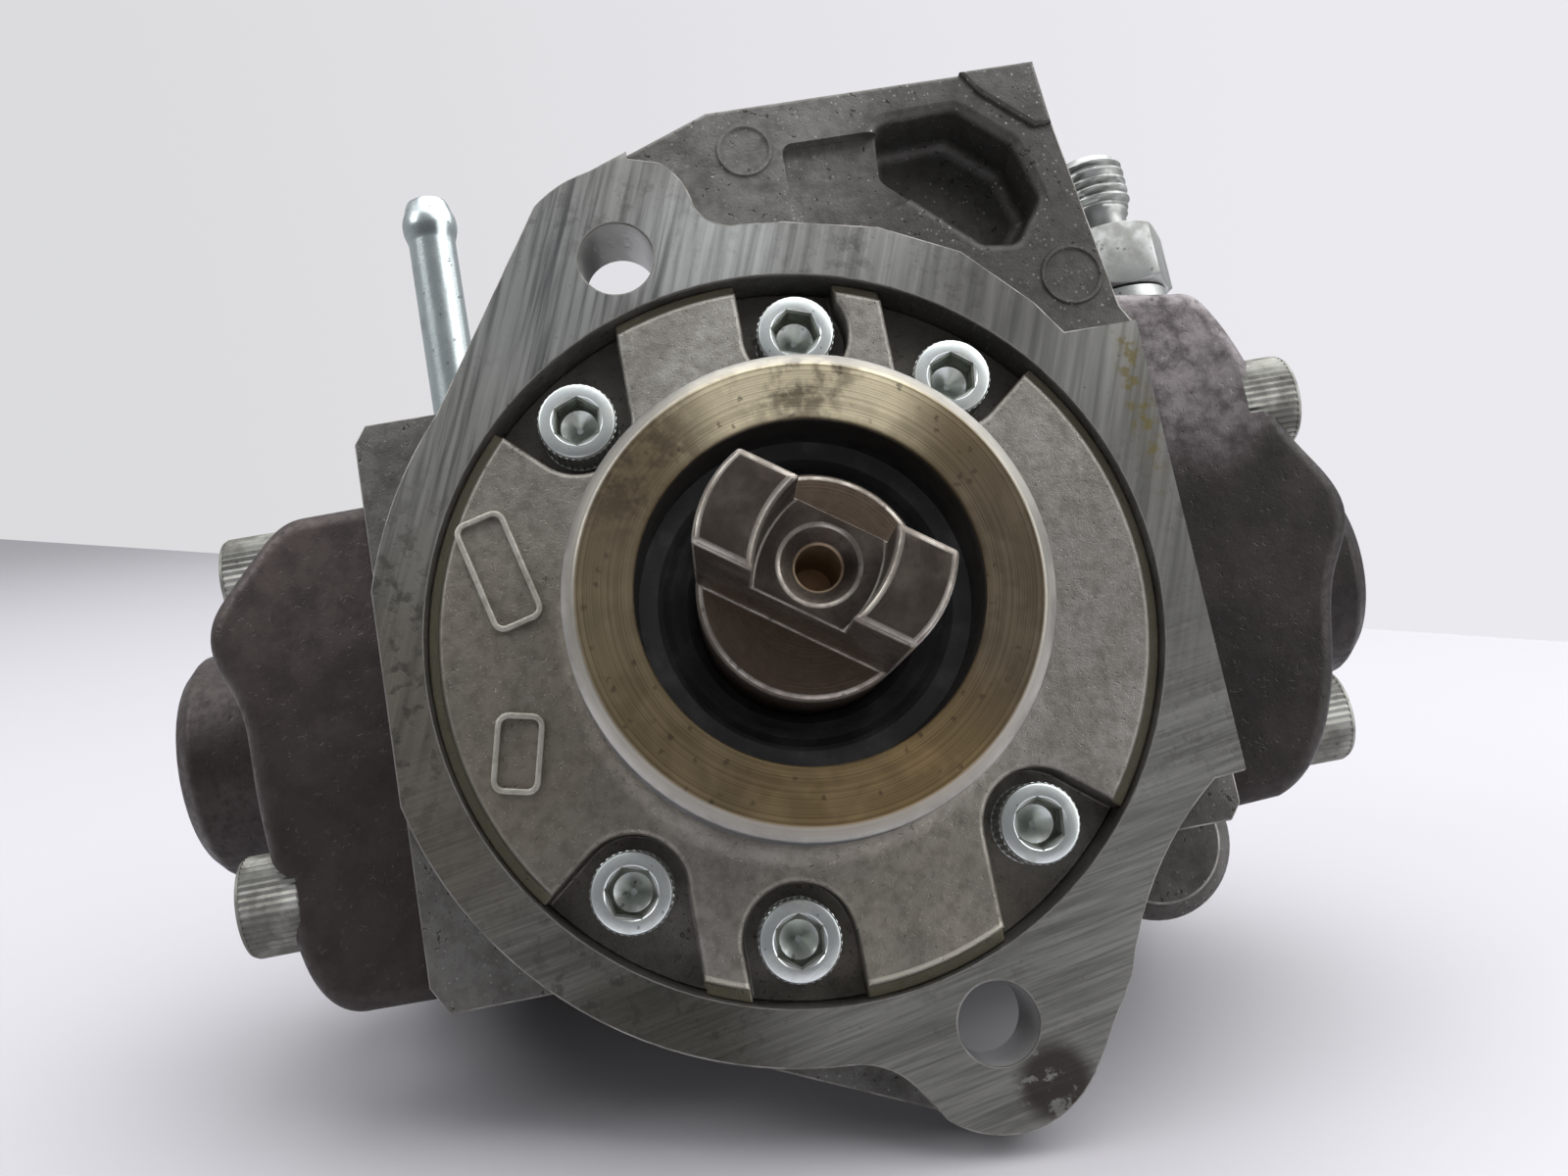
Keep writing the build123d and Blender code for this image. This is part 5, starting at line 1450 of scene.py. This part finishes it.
@dataclass
class Studio:
    """The white table, the pale room, the lamps and the camera."""

    eye: tuple = (-13.667, -164.537, -23.836)
    right: tuple = (0.98184, -0.04377, -0.1846)
    down: tuple = (-0.17391, 0.18119, -0.96795)
    ahead: tuple = (0.07582, 0.98247, 0.17028)
    focal: float = 1383.09
    width: int = 1600
    height: int = 1200
    sensor: float = 36.0
    floor_up: tuple = (0.0969, -0.2707, 0.9578)
    floor_level: float = -62.75
    edge_left: Pair = (-70.0, 545.5)
    edge_right: Pair = (2500.0, 714.0)
    room_left: Color = (0.71, 0.71, 0.725)
    room_right: Color = (0.835, 0.825, 0.87)
    light_front: Color = (0.10, 0.10, 0.10)
    light_back: Color = (0.62, 0.63, 0.65)
    light_top: Color = (0.95, 0.96, 1.0)
    light_strength: float = 0.6
    reach_right: float = 0.6
    reach_near: Pair = (9.0, 2.4)
    lamps: tuple = (
        ("overhead", (1.3, 0.2, 0.4), 2.4, 35.0),
        ("left_window", (0.6, -0.25, -0.75), 0.5, 3.0),
        ("right_fill", (0.35, -0.3, 0.9), 0.8, 4.4),
    )

    def build(self) -> None:
        """Make the camera, the table, the room and the lamps."""
        self._camera()
        self._table()
        self._world()
        up, side, front = Vector(self.floor_up).normalized(), Vector(self.right), Vector(self.ahead)
        for name, (above, beyond, beside), size, power in self.lamps:
            self._lamp(name, up * above + front * beyond + side * beside, size, power)
        LOG.info("studio")

    def _camera(self) -> None:
        """Put the camera at the photograph's place."""
        data = bpy.data.cameras.new("camera")
        data.sensor_width = self.sensor
        data.lens = self.focal / self.width * self.sensor
        data.clip_start, data.clip_end = 0.005, 50.0
        cam = bpy.data.objects.new("camera", data)
        bpy.context.scene.collection.objects.link(cam)
        x, y, z = Vector(self.right).normalized(), -Vector(self.down).normalized(), -Vector(self.ahead).normalized()
        cam.matrix_world = moved(*self.eye) @ Matrix((x, y, z)).transposed().to_4x4()
        bpy.context.scene.camera = cam

    def _on_floor(self, px: float, py: float) -> Vector:
        """Find the table's point under a pixel of the photograph.

        Args:
            px: The pixel's column.
            py: The pixel's row.

        Returns:
            The point in metres.
        """
        across, below = (px - self.width / 2) / self.focal, (py - self.height / 2) / self.focal
        ray = across * Vector(self.right) + below * Vector(self.down) + Vector(self.ahead)
        up, eye = Vector(self.floor_up), Vector(self.eye)
        return (eye + ray * ((self.floor_level - up.dot(eye)) / up.dot(ray))) * MM

    def _table(self) -> None:
        """Model the table's sheet, whose far edge lies where the photograph has it."""
        left, right = self._on_floor(*self.edge_left), self._on_floor(*self.edge_right)
        up = Vector(self.floor_up).normalized()
        near = -(Vector(self.ahead) - up * up.dot(Vector(self.ahead))).normalized()
        along = (right - left).normalized()
        far_right, (left_reach, right_reach) = right + along * self.reach_right, self.reach_near
        corners = [left, far_right, far_right + near * right_reach, left + near * left_reach]
        Bench.clear()
        bpy.ops.mesh.primitive_circle_add(vertices=4, radius=1.0, fill_type="NGON")
        sheet = bpy.context.object
        sheet.name = "table"
        for vertex, corner in zip(sheet.data.vertices, corners):
            vertex.co = corner
        sheet.data.update()
        if sheet.data.polygons[0].normal.dot(up) < 0:
            sheet.data.flip_normals()
        sheet.data.materials.append(FloorPaint("table_white").material())

    def _world(self) -> None:
        """Give the room its pale wall for the camera and its even light for the rest."""
        world = bpy.data.worlds.new("room")
        bpy.context.scene.world = world
        world.use_nodes = True
        world.node_tree.nodes.clear()
        g = Graph(world.node_tree)
        way = g.node("TexCoord").outputs["Generated"]
        across, behind, up = g.node("SeparateXYZ", {0: way}).outputs
        wall = g.mix(g.step(across, -0.45, 0.6), self.room_left, self.room_right)
        seen = g.node("Background", {"Color": wall, "Strength": 1.0}).outputs[0]
        around = g.mix(g.step(behind, -0.9, 0.5), self.light_front, self.light_back)
        shade = g.mix(g.step(up, -0.2, 0.9), around, self.light_top)
        lit = g.node("Background", {"Color": shade, "Strength": self.light_strength}).outputs[0]
        camera_ray = g.node("LightPath").outputs["Is Camera Ray"]
        both = g.node("MixShader", {0: camera_ray, 1: lit, 2: seen}).outputs[0]
        g.node("OutputWorld", {"Surface": both})

    @staticmethod
    def _lamp(name: str, place: Vector, size: float, power: float) -> None:
        """Add a soft lamp that faces the pump.

        Args:
            name: The lamp's name.
            place: Where it hangs, in metres.
            size: Its width in metres.
            power: Its power in watts.
        """
        data = bpy.data.lights.new(name, "AREA")
        data.shape = "SQUARE"
        data.size = size
        data.energy = power
        lamp = bpy.data.objects.new(name, data)
        bpy.context.scene.collection.objects.link(lamp)
        lamp.location = place
        lamp.rotation_mode = "QUATERNION"
        lamp.rotation_quaternion = (Vector((0, 0.02, 0)) - place).to_track_quat("-Z", "Y")


def main() -> None:
    """Build the pump's pieces in order, then the studio."""
    logging.basicConfig(level=logging.INFO, format="%(name)s %(message)s")
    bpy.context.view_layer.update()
    PumpBody().build()
    FrontCover().build()
    Shell("drive_shaft", "shaft_piece", 0.28, SHAFT, "shaft_steel", SHAFT_EDGE, body="shaft").build()
    Head(Side.RIGHT, HEAD_RIGHT).build()
    Head(Side.LEFT, HEAD_LEFT).build()
    Union().build()
    HoseSpout("return_spout", "return_pipe", 4.0, 2.8, 4.65, 39.2, 93.5, moved(-45.6, 60.0, 0.0)).build()
    HoseSpout("inlet_spout", "inlet_pipe", 5.0, 3.6, 5.8, 82.2, 116.0, backward(0.0, -24.0, 0.0)).build()
    RearGroup().build()
    for spring in SPRINGS:
        spring.build()
    dress_nodes()
    Studio().build()
    bpy.context.scene.view_settings.view_transform = "Standard"


if __name__ == "__main__":
    main()
